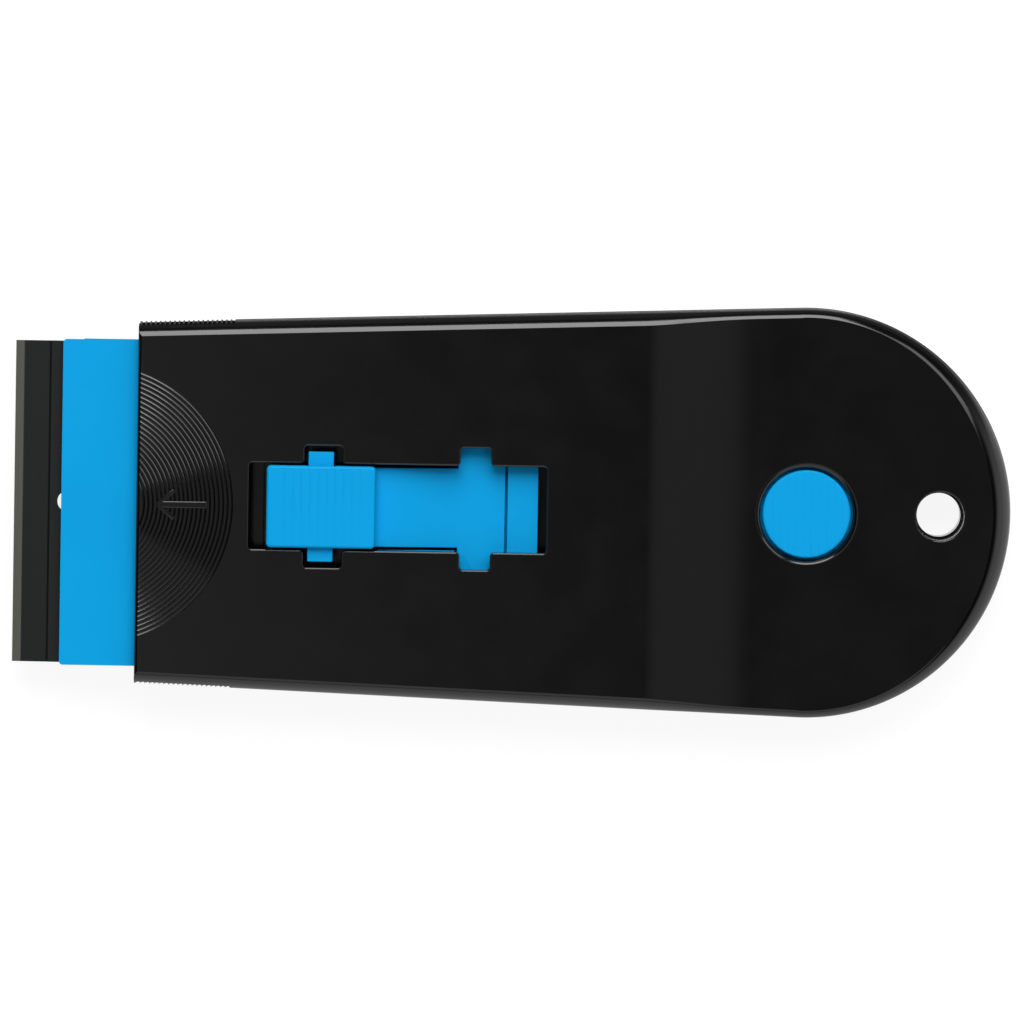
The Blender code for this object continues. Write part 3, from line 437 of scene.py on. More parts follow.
# Thumb slot with two pairs of notches
slot = {
    "front": 13.3 * mm,
    "rear": 48.5 * mm,
    "halfWidth": 5.1 * mm,
    "notchHalfWidth": 7.2 * mm,
    "frontNotch": (22.08 * mm, 4.5 * mm),
    "rearNotch": (40.1 * mm, 3.6 * mm),
    "cornerRound": 0.6 * mm,
    "cornerSegments": 5,
    "innerRound": 0.3 * mm,
    "rimRound": 0.2 * mm,
    "rimSteps": 4,
    "reach": 3.0 * mm,
    "reliefRear": 51.2 * mm,
    "reliefHalf": 5.1 * mm,
    "reliefTop": 8.5 * mm,
    "reliefAhead": 0.3 * mm,
    "reliefBelow": 0.1 * mm,
}


def slotCutter():
    # The rim rolls outwards to the roof, so the outline is drawn at its widest and taken in on the way down
    rim, top = slot["rimRound"], topHigh.z
    half, notchHalf = slot["halfWidth"] + rim, slot["notchHalfWidth"] + rim
    front, rear = mouthX + slot["front"] - rim, mouthX + slot["rear"] + rim
    piece = box("slotCutter", (front, -half, top), (rear, half, top + mm))
    for centre, length in (slot["frontNotch"], slot["rearNotch"]):
        middleX, reach = mouthX + centre, length / 2 + rim
        notch = box("notch", (middleX - reach, -notchHalf, top), (middleX + reach, notchHalf, top + mm))
        fuse(piece, notch)
    edit(piece)
    bpy.ops.mesh.dissolve_limited(angle_limit=math.radians(1))

    def isInner(place):
        # Where a side of the slot turns into a notch
        return abs(place.y) < half + margin and front + mm < place.x < rear - mm

    for inner, width in ((False, slot["cornerRound"]), (True, slot["innerRound"])):
        pick(piece, "EDGE", lambda e: uprightLength(e) > mm / 2 and isInner(middle(e)) == inner)
        bpy.ops.mesh.bevel(offset=width, segments=slot["cornerSegments"], affect="EDGES", clamp_overlap=True)
    pick(piece, "FACE", lambda face: face.normal.z < -facingUp)
    bpy.ops.mesh.dissolve_faces()
    turn = math.pi / 2 / slot["rimSteps"]
    for step in range(slot["rimSteps"]):
        inwards = rim * (math.sin(turn * (step + 1)) - math.sin(turn * step))
        down = rim * (math.cos(turn * step) - math.cos(turn * (step + 1)))
        bpy.ops.mesh.inset(thickness=inwards, depth=down, use_even_offset=True)
    extrudeUp(rim - slot["reach"])
    leaveEdit()
    turnOutwards(piece)
    return piece


def quarterAngles(steps):
    return [math.pi / 2 * step / steps for step in range(steps + 1)]


def rolledHole(name, place, radius, rimRound, low, high, steps=6):
    # A hole whose top rim rolls outwards
    profile = [(radius, low)]
    for angle in quarterAngles(steps):
        profile.append((radius + rimRound * (1 - math.cos(angle)), high - rimRound * (1 - math.sin(angle))))
    profile.append((radius + rimRound, high + mm))
    return turned(name, place, profile)


# Holes of the housing: the release button's and the one to hang the tool by
holes = {
    "buttonRadius": 5.5 * mm,
    "buttonRim": 0.6 * mm,
    "hangSetback": 15.8 * mm,
    "hangRadius": 2.88 * mm,
    "hangRim": 0.2 * mm,
    "boreRadius": 2.6 * mm,
    "tubeRadius": 4.2 * mm,
}
hangX = buttonX + holes["hangSetback"]
rearRoofZ = topHigh.z - upper["drop"]

# Ring grooves behind the mouth, on arcs about a point ahead of it
rings = {
    "centreOut": 5.05 * mm,
    "first": 6.0 * mm,
    "pitch": 0.52 * mm,
    "count": 21,
    "width": 0.23 * mm,
    "depth": 0.036 * mm,
    "clear": 0.01 * mm,
    "steps": 216,
}


def ringCutter():
    putDown()
    half = rings["width"] / 2 * (1 + rings["clear"] / rings["depth"])
    height = rings["depth"] + rings["clear"]
    # A circle of three sides has its point up, so it is turned over as it is stood on edge
    bpy.ops.mesh.primitive_circle_add(vertices=3, radius=1, fill_type="NGON", rotation=(-math.pi / 2, 0, 0))
    piece = settle("ringCutter")
    edit(piece)
    size = (half / triangleHalf, 1, height / triangleHeight)
    resize(size, (0, 0, 0))
    x = mouthX - rings["centreOut"] + rings["first"]
    z = topHigh.z + rings["clear"] - height / 3
    bpy.ops.transform.translate(value=(x, 0, z))
    leaveEdit()
    arrayAlong(piece, rings["count"], (rings["pitch"], 0, 0))
    edit(piece)
    bpy.ops.mesh.spin(
        steps=rings["steps"],
        angle=2 * math.pi,
        center=(mouthX - rings["centreOut"], 0, 0),
        axis=(0, 0, 1),
        use_auto_merge=True,
    )
    pick(piece, "FACE", lambda face: len(face.verts) == 3)
    bpy.ops.mesh.delete(type="ONLY_FACE")
    leaveEdit()
    turnOutwards(piece)
    return piece


# Fine upright teeth along both sides of the front
teeth = {
    "first": 0.45 * mm,
    "pitch": 0.56 * mm,
    "count": 20,
    "width": 0.54 * mm,
    "depth": 0.55 * mm,
    "bite": 0.75,
    "below": 1.0 * mm,
    "inwards": 0.14 * mm,
    "pastSeam": 0.1 * mm,
}


def teethCutter(name, low, lowInset, high, highInset):
    # One three-sided bar, leaning with the wall, then a row of them along each side
    pieces = []
    for side in (1, -1):
        putDown()
        y = sideY(mouthX + teeth["first"], (lowInset + highInset) / 2)
        centre = (mouthX + teeth["first"], y, (low + high) / 2)
        bpy.ops.mesh.primitive_cylinder_add(
            vertices=3, radius=1, depth=high - low, location=centre, rotation=(0, 0, math.pi)
        )
        piece = settle(name)
        edit(piece)
        size = (teeth["width"] / 2 / triangleHalf, teeth["depth"] / triangleHeight, 1)
        resize(size, centre)
        bpy.ops.transform.translate(value=(0, teeth["depth"] * (2 / 3 - teeth["bite"]), 0))
        for z, inset in ((low, lowInset), (high, highInset)):
            pick(piece, "VERT", lambda v, z=z: abs(v.co.z - z) < near)
            bpy.ops.transform.translate(value=(0, (lowInset + highInset) / 2 - inset, 0))
        leaveEdit()
        arrayAlong(piece, teeth["count"], (teeth["pitch"], teeth["pitch"] * math.tan(lean), 0))
        if side < 0:
            mirror(piece, (1, -1, 1))
        turnOutwards(piece)
        pieces.append(piece)
    return pieces


# Raised arrow that points to the blade
arrow = {
    "tip": 2.5 * mm,
    "tail": 8.35 * mm,
    "width": 0.8 * mm,
    "barb": 2.6 * mm,
    "barbWidth": 0.5 * mm,
    "rise": 0.14 * mm,
    "edge": 0.13 * mm,
    "edgeSegments": 4,
    "sunk": 0.4 * mm,
    "tilt": math.radians(40),
}


def arrowMark():
    low, high = topHigh.z - arrow["sunk"], topHigh.z + arrow["rise"]
    half, barbHalf = arrow["width"] / 2, arrow["barbWidth"] / 2
    tip = mouthX + arrow["tip"]
    piece = box("arrowMark", (tip + half, -half, low), (mouthX + arrow["tail"], half, high))
    soften(piece, arrow["edge"], arrow["edgeSegments"])
    for side in (1, -1):
        barb = box("barb", (tip, -barbHalf, low), (tip + arrow["barb"], barbHalf, high))
        soften(barb, arrow["edge"], arrow["edgeSegments"])
        edit(barb)
        bpy.ops.transform.rotate(value=side * arrow["tilt"], orient_axis="Z", center_override=(tip, 0, 0))
        leaveEdit()
        fuse(piece, barb)
    return piece


# Bosses inside, where the shells are pressed together
bosses = {
    "places": (31.8 * mm, 57.8 * mm),
    "side": 17.9 * mm,
    "radius": 2.0 * mm,
    "pegRadius": 1.0 * mm,
    "pegLength": 2.0 * mm,
}
bossPlaces = [(mouthX + x, side * bosses["side"]) for x in bosses["places"] for side in (1, -1)]


# Which edges of the roof are the rims of its openings
rims = {
    "level": 0.99999,
    "slanted": 0.999,
    "halfWidth": 8 * mm,
    "behindHole": 5 * mm,
}


def isRim(edge):
    ups = [face.normal.z for face in edge.link_faces]
    place = middle(edge)
    inside = abs(place.y) < rims["halfWidth"] and place.x < hangX + rims["behindHole"]
    return inside and max(ups) > rims["level"] and min(ups) < rims["slanted"]


def keepRoofFlat(piece):
    # The rims of the openings don't lend their slant to the roof around them
    edit(piece)
    pick(piece, "EDGE", isRim)
    bpy.ops.mesh.mark_sharp()
    leaveEdit()


def makeHousingTop():
    piece = upperOutside()
    below, front = topLow.z - mm, mouthX - handle["overrun"]
    roofInside = rearRoofZ - upper["rearRoof"]
    pocketTop = topHigh.z - upper["frontRoof"]
    carve(
        piece,
        handleBlock("cavity", handle["sideWall"], below, roofInside, front),
        handleBlock("rebate", upper["lipRebate"], below, upper["lipRebateTop"], front),
        wedge("pocket", upper["pocketInset"], below, pocketTop, front, mouthX + upper["pocketRear"]),
    )
    for place in bossPlaces:
        fuse(piece, drum("boss", place, bosses["radius"], topLow.z, pocketTop + overlap))
    fuse(piece, drum("tube", (hangX, 0), holes["tubeRadius"], topLow.z, roofInside + overlap))
    for place in bossPlaces:
        sunk = topLow.z + bosses["pegLength"] + handle["seatGap"]
        carve(piece, drum("socket", place, bosses["pegRadius"] + handle["seatGap"], below, sunk))
    # Room above the tongue where it passes under the roof
    relief = (slot["rear"] - slot["reliefAhead"], slot["reliefRear"])
    carve(
        piece,
        slotCutter(),
        span("relief", relief, slot["reliefHalf"], (pocketTop - slot["reliefBelow"], slot["reliefTop"])),
        rolledHole(
            "buttonHole",
            (buttonX, 0),
            holes["buttonRadius"],
            holes["buttonRim"],
            roofInside - mm,
            rearRoofZ,
        ),
        rolledHole("hangHole", (hangX, 0), holes["hangRadius"], holes["hangRim"], below, rearRoofZ),
        ringCutter(),
        *teethCutter(
            "teethCutter",
            topLow.z - teeth["pastSeam"],
            upper["rimStep"],
            topHigh.z - teeth["below"],
            upper["rimStep"] + upper["lean"] + teeth["inwards"],
        ),
        mouthEdgeCutter(),
    )
    fuse(piece, arrowMark())
    keepRoofFlat(piece)
    smooth(piece, angle=14)
    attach(piece, "housing")
    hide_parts("upper_shell")
    print("upper shell made:", len(piece.data.polygons), "faces")
    return piece


# Lower shell of the housing
base = {
    "lean": 0.3 * mm,
    "land": 0.3 * mm,
    "bottomRound": 1.2 * mm,
    "rimRound": 0.16 * mm,
    "roundSegments": 8,
    "floor": 1.6 * mm,
    "sill": 3.1 * mm,
    "sillLength": 2.5 * mm,
    "lip": 0.7 * mm,
    "lipHeight": 1.0 * mm,
    "lipPlay": 0.2 * mm,
    "lipFoot": 0.8 * mm,
    "teethAbove": 0.25 * mm,
    "railInside": 13.0 * mm,
    "railOutside": 14.5 * mm,
    "railStep": 29.1 * mm,
    "railRear": 64.1 * mm,
    "lowRail": 3.3 * mm,
    "tallRail": 5.6 * mm,
    "ribFront": 13.8 * mm,
    "ribRear": 14.9 * mm,
    "ribHalf": 12.0 * mm,
    "postHalf": 1.05 * mm,
    "postTop": 4.95 * mm,
}


def baseOutside():
    # Drawn upside down, from the rim up to the underside, and turned over at the end
    height = baseRim - baseLow.z
    piece = handlePlan("housingBase", 0, 0, mouthX - handle["overrun"])
    extrudeUp(base["land"])
    bpy.ops.mesh.inset(thickness=base["lean"], depth=height - base["land"], use_even_offset=True)
    mesh = bmesh.from_edit_mesh(piece.data)
    mesh.normal_update()
    weights = mesh.edges.layers.float.new("bevel_weight_edge")
    for edge in mesh.edges:
        heights = [v.co.z for v in edge.verts]
        if min(heights) > height - near:
            edge[weights] = 1
        if max(heights) < near:
            edge[weights] = base["rimRound"] / base["bottomRound"]
    bmesh.update_edit_mesh(piece.data)
    bpy.ops.mesh.select_all(action="SELECT")
    resize((1, 1, -1), (0, 0, 0))
    bpy.ops.transform.translate(value=(0, 0, baseRim))
    leaveEdit()
    turnOutwards(piece)
    roundWeighted(piece, base["bottomRound"], base["roundSegments"])
    cutFlat(piece, mouthX)
    return piece


def makeHousingBase():
    piece = baseOutside()
    wall, inner = handle["sideWall"], handle["sideWall"] + base["lipPlay"]
    above = baseRim + mm
    carve(
        piece,
        handleBlock("cavity", wall, base["floor"], above, mouthX + wall),
        wedge("mouth", inner, base["sill"], above, mouthX - mm, mouthX + base["sillLength"]),
    )
    lipFoot, lipTop = baseRim - base["lipFoot"], baseRim + base["lipHeight"]
    lip = handleBlock("lip", wall - base["lip"], lipFoot, lipTop, mouthX)
    carve(lip, handleBlock("lipInside", wall, baseRim - mm, above + mm, mouthX - mm))
    for place in bossPlaces:
        carve(lip, drum("bossRoom", place, bosses["radius"] + base["lipPlay"], baseRim - mm, above + mm))
    carve(lip, drum("tubeRoom", (hangX, 0), holes["tubeRadius"] + base["lipPlay"], baseRim - mm, above + mm))
    fuse(piece, lip)
    for side in (1, -1):
        y = sorted((side * base["railInside"], side * base["railOutside"]))
        rear = mouthX + base["railRear"]
        low = box("rail", (mouthX + wall / 2, y[0], mm), (rear, y[1], base["lowRail"]))
        fuse(low, box("rail", (mouthX + base["railStep"], y[0], mm), (rear, y[1], base["tallRail"])))
        fuse(piece, low)
    rib = span("rib", (base["ribFront"], base["ribRear"]), base["ribHalf"], (mm, base["lowRail"]))
    half = base["postHalf"]
    post = box("post", (buttonX - half, -half, mm), (buttonX + half, half, base["postTop"]))
    fuse(piece, rib, post, drum("tube", (hangX, 0), holes["tubeRadius"], mm, baseRim))
    for place in bossPlaces:
        fuse(piece, drum("boss", place, bosses["radius"], mm, baseRim))
        fuse(piece, drum("peg", place, bosses["pegRadius"], baseRim - mm, topLow.z + bosses["pegLength"]))
    # The bore's rolled rim is underneath, so it is drawn upside down and mirrored
    bore = rolledHole(
        "hangBore", (hangX, 0), holes["boreRadius"], holes["hangRim"], -baseRim - mm, -baseLow.z
    )
    mirror(bore, (1, 1, -1))
    turnOutwards(bore)
    teethLow, teethHigh = base["bottomRound"] + base["teethAbove"], baseRim + teeth["pastSeam"]
    carve(piece, bore, *teethCutter("teethCutter", teethLow, base["lean"], teethHigh, 0))
    smooth(piece)
    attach(piece, "housing")
    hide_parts("lower_shell")
    print("lower shell made:", len(piece.data.polygons), "faces")
    return piece


# Sliding carrier: lower jaw, window plate, ledge and fork
carrier = {
    "jawTop": 4.8 * mm,
    "bladeStop": 4.75 * mm,
    "headWall": 8.3 * mm,
    "headRear": 10.5 * mm,
    "seatTop": 6.1 * mm,
    "headHalf": 19.3 * mm,
    "plateHalf": 15.5 * mm,
    "plateBottom": 5.9 * mm,
    "plateRear": 47.5 * mm,
    "windowFront": 11.5 * mm,
    "windowHalf": 7.8 * mm,
    "windowWaist": 28.5 * mm,
    "slitHalf": 5.05 * mm,
    "rootFront": 38.0 * mm,
    "rootRear": 43.9 * mm,
    "rootHalf": 12.7 * mm,
    "ledgeBottom": 4.9 * mm,
    "ledgeTop": 5.9 * mm,
    "prongInside": 9.2 * mm,
    "prongOutside": 11.2 * mm,
    "prongLow": 5.4 * mm,
    "prongHigh": 6.6 * mm,
    "hookFront": 77.3 * mm,
    "hookRear": 79.1 * mm,
    "hookInside": 7.05 * mm,
    "hookBevel": 0.8 * mm,
    "prongOverlap": 2.5 * mm,
    "ledgeAhead": 1.5 * mm,
    "ledgeShort": 0.75 * mm,
    "ledgeOverlap": 0.6 * mm,
    "rootPlay": 0.3 * mm,
    "pegRadius": 1.0 * mm,
    "pegPlay": 0.3 * mm,
    "pegSides": 48,
    "pegSetback": 40.8 * mm,
    "pegOut": 9.5 * mm,
    "stakeSetback": 6.375 * mm,
    "stakePitch": 13 * mm,
    "stakeFoot": 0.8 * mm,
    "stakeSunk": 0.3 * mm,
    "edge": 0.12 * mm,
}
stakePlaces = [(mouthX + carrier["stakeSetback"], carrier["stakePitch"] * step) for step in (-1, 0, 1)]
tonguePegs = [(mouthX + carrier["pegSetback"], carrier["pegOut"] * side) for side in (-1, 1)]


def pegHole(place, low, high):
    radius = carrier["pegRadius"] + carrier["pegPlay"]
    return drum("hole", place, radius, low - mm, high + mm, carrier["pegSides"])


def makeBladeHolder():
    c = carrier
    jawFront = carrierLow.x - mouthX
    top = carrierHigh.z
    piece = span("bladeHolder", (jawFront, c["headRear"]), c["headHalf"], (carrierLow.z, c["jawTop"]))
    fuse(
        piece,
        span("seat", (c["bladeStop"], c["headRear"]), c["headHalf"], (c["jawTop"] - overlap, c["seatTop"])),
        span("wall", (c["headWall"], c["headRear"]), c["headHalf"], (c["seatTop"] - overlap, top)),
        span("plate", (c["headRear"] - mm, c["plateRear"]), c["plateHalf"], (c["plateBottom"], top)),
        span(
            "ledge",
            (c["rootFront"] - c["ledgeAhead"], c["plateRear"] - c["ledgeShort"]),
            c["rootHalf"] - c["rootPlay"],
            (c["ledgeBottom"], c["ledgeTop"] + c["ledgeOverlap"]),
        ),
    )
    for side in (1, -1):
        y = sorted((side * c["prongInside"], side * c["prongOutside"]))
        hook = sorted((side * c["hookInside"], side * c["prongOutside"]))
        low, high = c["prongLow"], c["prongHigh"]
        front, rear = mouthX + c["plateRear"] - c["prongOverlap"], mouthX + c["hookRear"]
        prong = box("prong", (front, y[0], low), (rear, y[1], high))
        fuse(prong, box("hook", (mouthX + c["hookFront"], hook[0], low), (rear, hook[1], high)))
        edit(prong)
        pick(prong, "EDGE", lambda edge: uprightLength(edge) > mm and middle(edge).x > rear - near)
        bpy.ops.mesh.bevel(offset=c["hookBevel"], segments=1, affect="EDGES", clamp_overlap=True)
        leaveEdit()
        fuse(piece, prong)
    root = (c["rootFront"] - c["rootPlay"], c["rootRear"])
    carve(
        piece,
        span("recess", root, c["rootHalf"], (c["ledgeTop"], top + mm)),
        span("window", (c["windowFront"], c["windowWaist"]), c["windowHalf"], (mm, top + mm)),
        span("slit", (c["windowWaist"] - mm, c["rootFront"]), c["slitHalf"], (mm, top + mm)),
    )
    foot, head = c["seatTop"] - c["stakeFoot"], top - c["stakeSunk"]
    for place in stakePlaces:
        fuse(piece, drum("stake", place, c["pegRadius"], foot, head, c["pegSides"]))
    for place in tonguePegs:
        fuse(piece, drum("peg", place, c["pegRadius"], c["ledgeTop"] - overlap, rootTop, c["pegSides"]))
    soften(piece, c["edge"])
    smooth(piece)
    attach(piece, "carrier")
    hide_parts("blade_carrier")
    print("blade holder made:", len(piece.data.polygons), "faces")
    return piece


# Clamp plate on top of the blade
clamp = {"edge": 0.18 * mm, "edgeSegments": 3, "corner": 0.4 * mm, "cornerSegments": 4}


def makeClampCover():
    piece = box("clampCover", clampLow, clampHigh)
    edit(piece)
    pick(piece, "EDGE", lambda edge: uprightLength(edge) > mm / 2)
    bpy.ops.mesh.bevel(offset=clamp["corner"], segments=clamp["cornerSegments"], affect="EDGES")
    leaveEdit()
    for place in stakePlaces:
        carve(piece, pegHole(place, clampLow.z, clampHigh.z))
    soften(piece, clamp["edge"], clamp["edgeSegments"])
    smooth(piece)
    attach(piece, "carrier")
    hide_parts("clamp_plate")
    print("clamp plate made:", len(piece.data.polygons), "faces")
    return piece


# Scraper blade, thinned to an edge along both long sides
blade = {
    # how far in from the edge, and how thick the blade is there, in mm
    "sides": ((0.0, 0.16), (1.0, 0.5), (4.0, 0.9), (4.12, 0.7), (4.25, 1.2)),
    "holeInset": 6.35 * mm,
    "holeRadius": 1.25 * mm,
}


def makeScraperStrip():
    piece = box("scraperStrip", bladeLow, bladeHigh)
    thickness = bladeHigh.z - bladeLow.z
    centre = (bladeHigh.z + bladeLow.z) / 2
    edit(piece)
    stations = []
    for out, thick in blade["sides"]:
        stations.append((bladeLow.x + out * mm, thick * mm))
        stations.append((bladeHigh.x - out * mm, thick * mm))
    cutAcross([x for x, thick in stations])
    for x, thick in stations:
        pick(piece, "VERT", lambda v, x=x: abs(v.co.x - x) < near)
        resize((1, 1, thick / thickness), (x, 0, centre))
    leaveEdit()
    for x in (bladeLow.x + blade["holeInset"], bladeHigh.x - blade["holeInset"]):
        carve(piece, drum("hole", (x, 0), blade["holeRadius"], bladeLow.z - mm, bladeHigh.z + mm))
    smooth(piece, angle=20)
    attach(piece, "blade")
    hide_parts("scraper_blade")
    print("scraper strip made:", len(piece.data.polygons), "faces")
    return piece


# Sprung tongue with its crossbar
tongue = {
    "half": 4.7 * mm,
    "thickness": 1.0 * mm,
    "rise": 1.0 * mm,
    "flatFront": 37.6 * mm,
    "slopeLength": 9.35 * mm,
    "steps": 16,
    "lug": (20.3 * mm, 23.3 * mm),
    "lugHalf": 6.5 * mm,
    "lugBottom": 7.7 * mm,
    "edge": 0.12 * mm,
}


def makeSpringTongue():
    t = tongue
    low, high = rootTop - t["thickness"], rootTop
    piece = box("springTongue", (tongueLow.x, -t["half"], low), (tongueHigh.x, t["half"], high))
    edit(piece)
    slopeFront = mouthX + t["flatFront"] - t["slopeLength"]
    stations = [slopeFront + t["slopeLength"] * step / t["steps"] for step in range(t["steps"] + 1)]
    cutAcross(stations)
    before = 0
    for step, x in reversed(list(enumerate(stations))):
        rise = t["rise"] * (1 + math.cos(math.pi * step / t["steps"])) / 2
        pick(piece, "VERT", lambda v, x=x: v.co.x < x + margin)
        bpy.ops.transform.translate(value=(0, 0, rise - before))
        before = rise
    leaveEdit()
    rootHalf = carrier["rootHalf"] - carrier["rootPlay"]
    fuse(
        piece,
        span("root", (carrier["rootFront"], tongueHigh.x - mouthX), rootHalf, (low, high)),
        span("crossbar", t["lug"], t["lugHalf"], (t["lugBottom"], tongueHigh.z)),
    )
    for place in tonguePegs:
        carve(piece, pegHole(place, low, high))
    soften(piece, t["edge"])
    smooth(piece)
    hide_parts("spring_tongue")
    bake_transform(piece)
    print("spring tongue made:", len(piece.data.polygons), "faces")
    return piece


# Ribbed thumb pad on the crossbar
pad = {
    "round": 0.35 * mm,
    "roundSegments": 5,
    "corner": 0.5 * mm,
    "cornerSegments": 6,
    "ribPitch": 1.0 * mm,
    "ribWidth": 0.45 * mm,
    "ribDepth": 0.055 * mm,
    "ribMargin": 1.0 * mm,
    "saddle": 0.3 * mm,
}


def ribCutters(values, centreX, length, half, top):
    # One three-sided bar across, a fifth of its depth clear of the top, then a row of them along the tool
    pitch, depth = values["ribPitch"], values["ribDepth"]
    count = int(length / pitch)
    clear = depth / 5
    height = depth + clear
    putDown()
    bpy.ops.mesh.primitive_cylinder_add(vertices=3, radius=1, depth=2 * half, rotation=(-math.pi / 2, 0, 0))
    piece = settle("ribs")
    edit(piece)
    wide = values["ribWidth"] / 2 * (1 + clear / depth) / triangleHalf
    resize((wide, 1, height / triangleHeight), (0, 0, 0))
    first = centreX - pitch * (count - 1) / 2
    bpy.ops.transform.translate(value=(first, 0, top + clear - height / 3))
    leaveEdit()
    return arrayAlong(piece, count, (pitch, 0, 0))


def makeThumbPad():
    p = pad
    piece = box("thumbPad", padLow, padHigh)
    edit(piece)
    pick(piece, "EDGE", lambda edge: uprightLength(edge) > mm / 2)
    bpy.ops.mesh.bevel(offset=p["corner"], segments=p["cornerSegments"], affect="EDGES")
    pick(piece, "FACE", lambda face: face.normal.z > facingUp)
    bpy.ops.mesh.bevel(offset=p["round"], segments=p["roundSegments"], affect="EDGES")
    leaveEdit()
    room = (tongue["lug"][0] - p["saddle"], tongue["lug"][1] + p["saddle"])
    carve(piece, span("saddle", room, padHigh.y + mm, (padLow.z - mm, tongueHigh.z + p["saddle"])))
    centreX, length = (padLow.x + padHigh.x) / 2, padHigh.x - padLow.x - 2 * p["ribMargin"]
    carve(piece, ribCutters(p, centreX, length, padHigh.y - p["round"], padHigh.z))
    smooth(piece)
    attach(piece, "thumb")
    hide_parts("thumb_pad")
    print("thumb pad made:", len(piece.data.polygons), "faces")
    return piece


# Release button on its winged flange
button = {
    "radius": 5.225 * mm,
    "flangeRadius": 6.75 * mm,
    "flangeLow": 5.3 * mm,
    "flangeHigh": 6.7 * mm,
    "round": 0.3 * mm,
    "roundSteps": 5,
    "hollow": 4.3 * mm,
    "hollowSides": 96,
    "topThickness": 1.2 * mm,
    "wing": (74.5 * mm, 77.0 * mm),
    "socketRadius": 2.5 * mm,
    "socketHalf": 1.4 * mm,
    "ribPitch": 0.91 * mm,
    "ribWidth": 0.45 * mm,
    "ribDepth": 0.035 * mm,
}


def makePushButton():
    b = button
    top, radius, rounding = buttonHigh.z, b["radius"], b["round"]
    low, high = b["flangeLow"], b["flangeHigh"]
    profile = [(b["flangeRadius"], low), (b["flangeRadius"], high), (radius, high)]
    for angle in quarterAngles(b["roundSteps"]):
        inwards, down = rounding * (1 - math.cos(angle)), rounding * (1 - math.sin(angle))
        profile.append((radius - inwards, top - down))
    piece = turned("pushButton", (buttonX, 0), profile)
    fuse(piece, span("wings", b["wing"], buttonHigh.y, (low, high)))
    ceiling = top - b["topThickness"]
    carve(piece, drum("hollow", (buttonX, 0), b["hollow"], low - mm, ceiling, b["hollowSides"]))
    fuse(piece, drum("socket", (buttonX, 0), b["socketRadius"], buttonLow.z, ceiling + overlap))
    half = b["socketHalf"]
    carve(piece, box("bore", (buttonX - half, -half, buttonLow.z - mm), (buttonX + half, half, ceiling)))
    carve(piece, ribCutters(b, buttonX, 2 * (radius - rounding), radius, top))
    smooth(piece)
    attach(piece, "button")
    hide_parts("release_button")
    print("push button made:", len(piece.data.polygons), "faces")
    return piece


# Coil spring under the button
coil = {"turns": 4, "wireRadius": 0.3 * mm, "sides": 12, "steps": 40, "keep": 0.4}


def makeCoilSpring():
    putDown()
    radius = springHigh.y - coil["wireRadius"]
    low, high = springLow.z + coil["wireRadius"], springHigh.z - coil["wireRadius"]
    bpy.ops.mesh.primitive_circle_add(
        vertices=coil["sides"],
        radius=coil["wireRadius"],
        fill_type="NOTHING",
        location=(radius, 0, low),
        rotation=(math.pi / 2, 0, 0),
    )
    piece = settle("coilSpring")
    modifier = piece.modifiers.new("coil", "SCREW")
    modifier.angle = 2 * math.pi * coil["turns"]
    modifier.screw_offset = high - low
    modifier.steps = coil["steps"] * coil["turns"]
    applyModifier(piece, modifier)
    edit(piece)
    bpy.ops.mesh.select_all(action="DESELECT")
    bpy.ops.mesh.select_mode(type="EDGE")
    bpy.ops.mesh.select_non_manifold()
    bpy.ops.mesh.edge_face_add()
    bpy.ops.mesh.select_all(action="SELECT")
    bpy.ops.transform.translate(value=(buttonX, 0, 0))
    leaveEdit()
    turnOutwards(piece)
    smooth(piece, angle=40)
    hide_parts("release_spring")
    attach(piece, "housing")
    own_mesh(piece)
    print("coil spring made:", len(piece.data.polygons), "faces")
    return piece


# Materials. Each one is worked out from the object's own coordinates, so it stays put as the piece moves
def newMaterial(name, colour, roughness):
    material = bpy.data.materials.new(name)
    material.use_nodes = True
    nodes = material.node_tree.nodes
    shader = nodes["Principled BSDF"]
    shader.inputs["Base Color"].default_value = (*colour, 1)
    shader.inputs["Roughness"].default_value = roughness
    material.diffuse_color = (*colour, 1)
    coordinates = nodes.new("ShaderNodeTexCoord")
    mapping = nodes.new("ShaderNodeMapping")
    material.node_tree.links.new(coordinates.outputs["Object"], mapping.inputs["Vector"])
    return material, shader, mapping


def noise(material, vector, scale, detail=2.0):
    node = material.node_tree.nodes.new("ShaderNodeTexNoise")
    node.inputs["Scale"].default_value = scale
    node.inputs["Detail"].default_value = detail
    material.node_tree.links.new(vector, node.inputs["Vector"])
    return node.outputs["Fac"]


def ranged(material, value, fromLow, fromHigh, toLow, toHigh):
    node = material.node_tree.nodes.new("ShaderNodeMapRange")
    for key, number in (("From Min", fromLow), ("From Max", fromHigh), ("To Min", toLow), ("To Max", toHigh)):
        node.inputs[key].default_value = number
    material.node_tree.links.new(value, node.inputs["Value"])
    return node.outputs["Result"]


def mixed(material, share, first, second):
    node = material.node_tree.nodes.new("ShaderNodeMix")
    node.data_type = "RGBA"
    node.inputs[6].default_value = (*first, 1)
    node.inputs[7].default_value = (*second, 1)
    material.node_tree.links.new(share, node.inputs[0])
    return node.outputs[2]


def grain(material, vector, values, shader):
    # A fine relief all over the surface
    node = material.node_tree.nodes.new("ShaderNodeBump")
    node.inputs["Distance"].default_value = values["grainDepth"]
    node.inputs["Strength"].default_value = values["grainStrength"]
    height = noise(material, vector, values["grain"])
    material.node_tree.links.new(height, node.inputs["Height"])
    material.node_tree.links.new(node.outputs["Normal"], shader.inputs["Normal"])


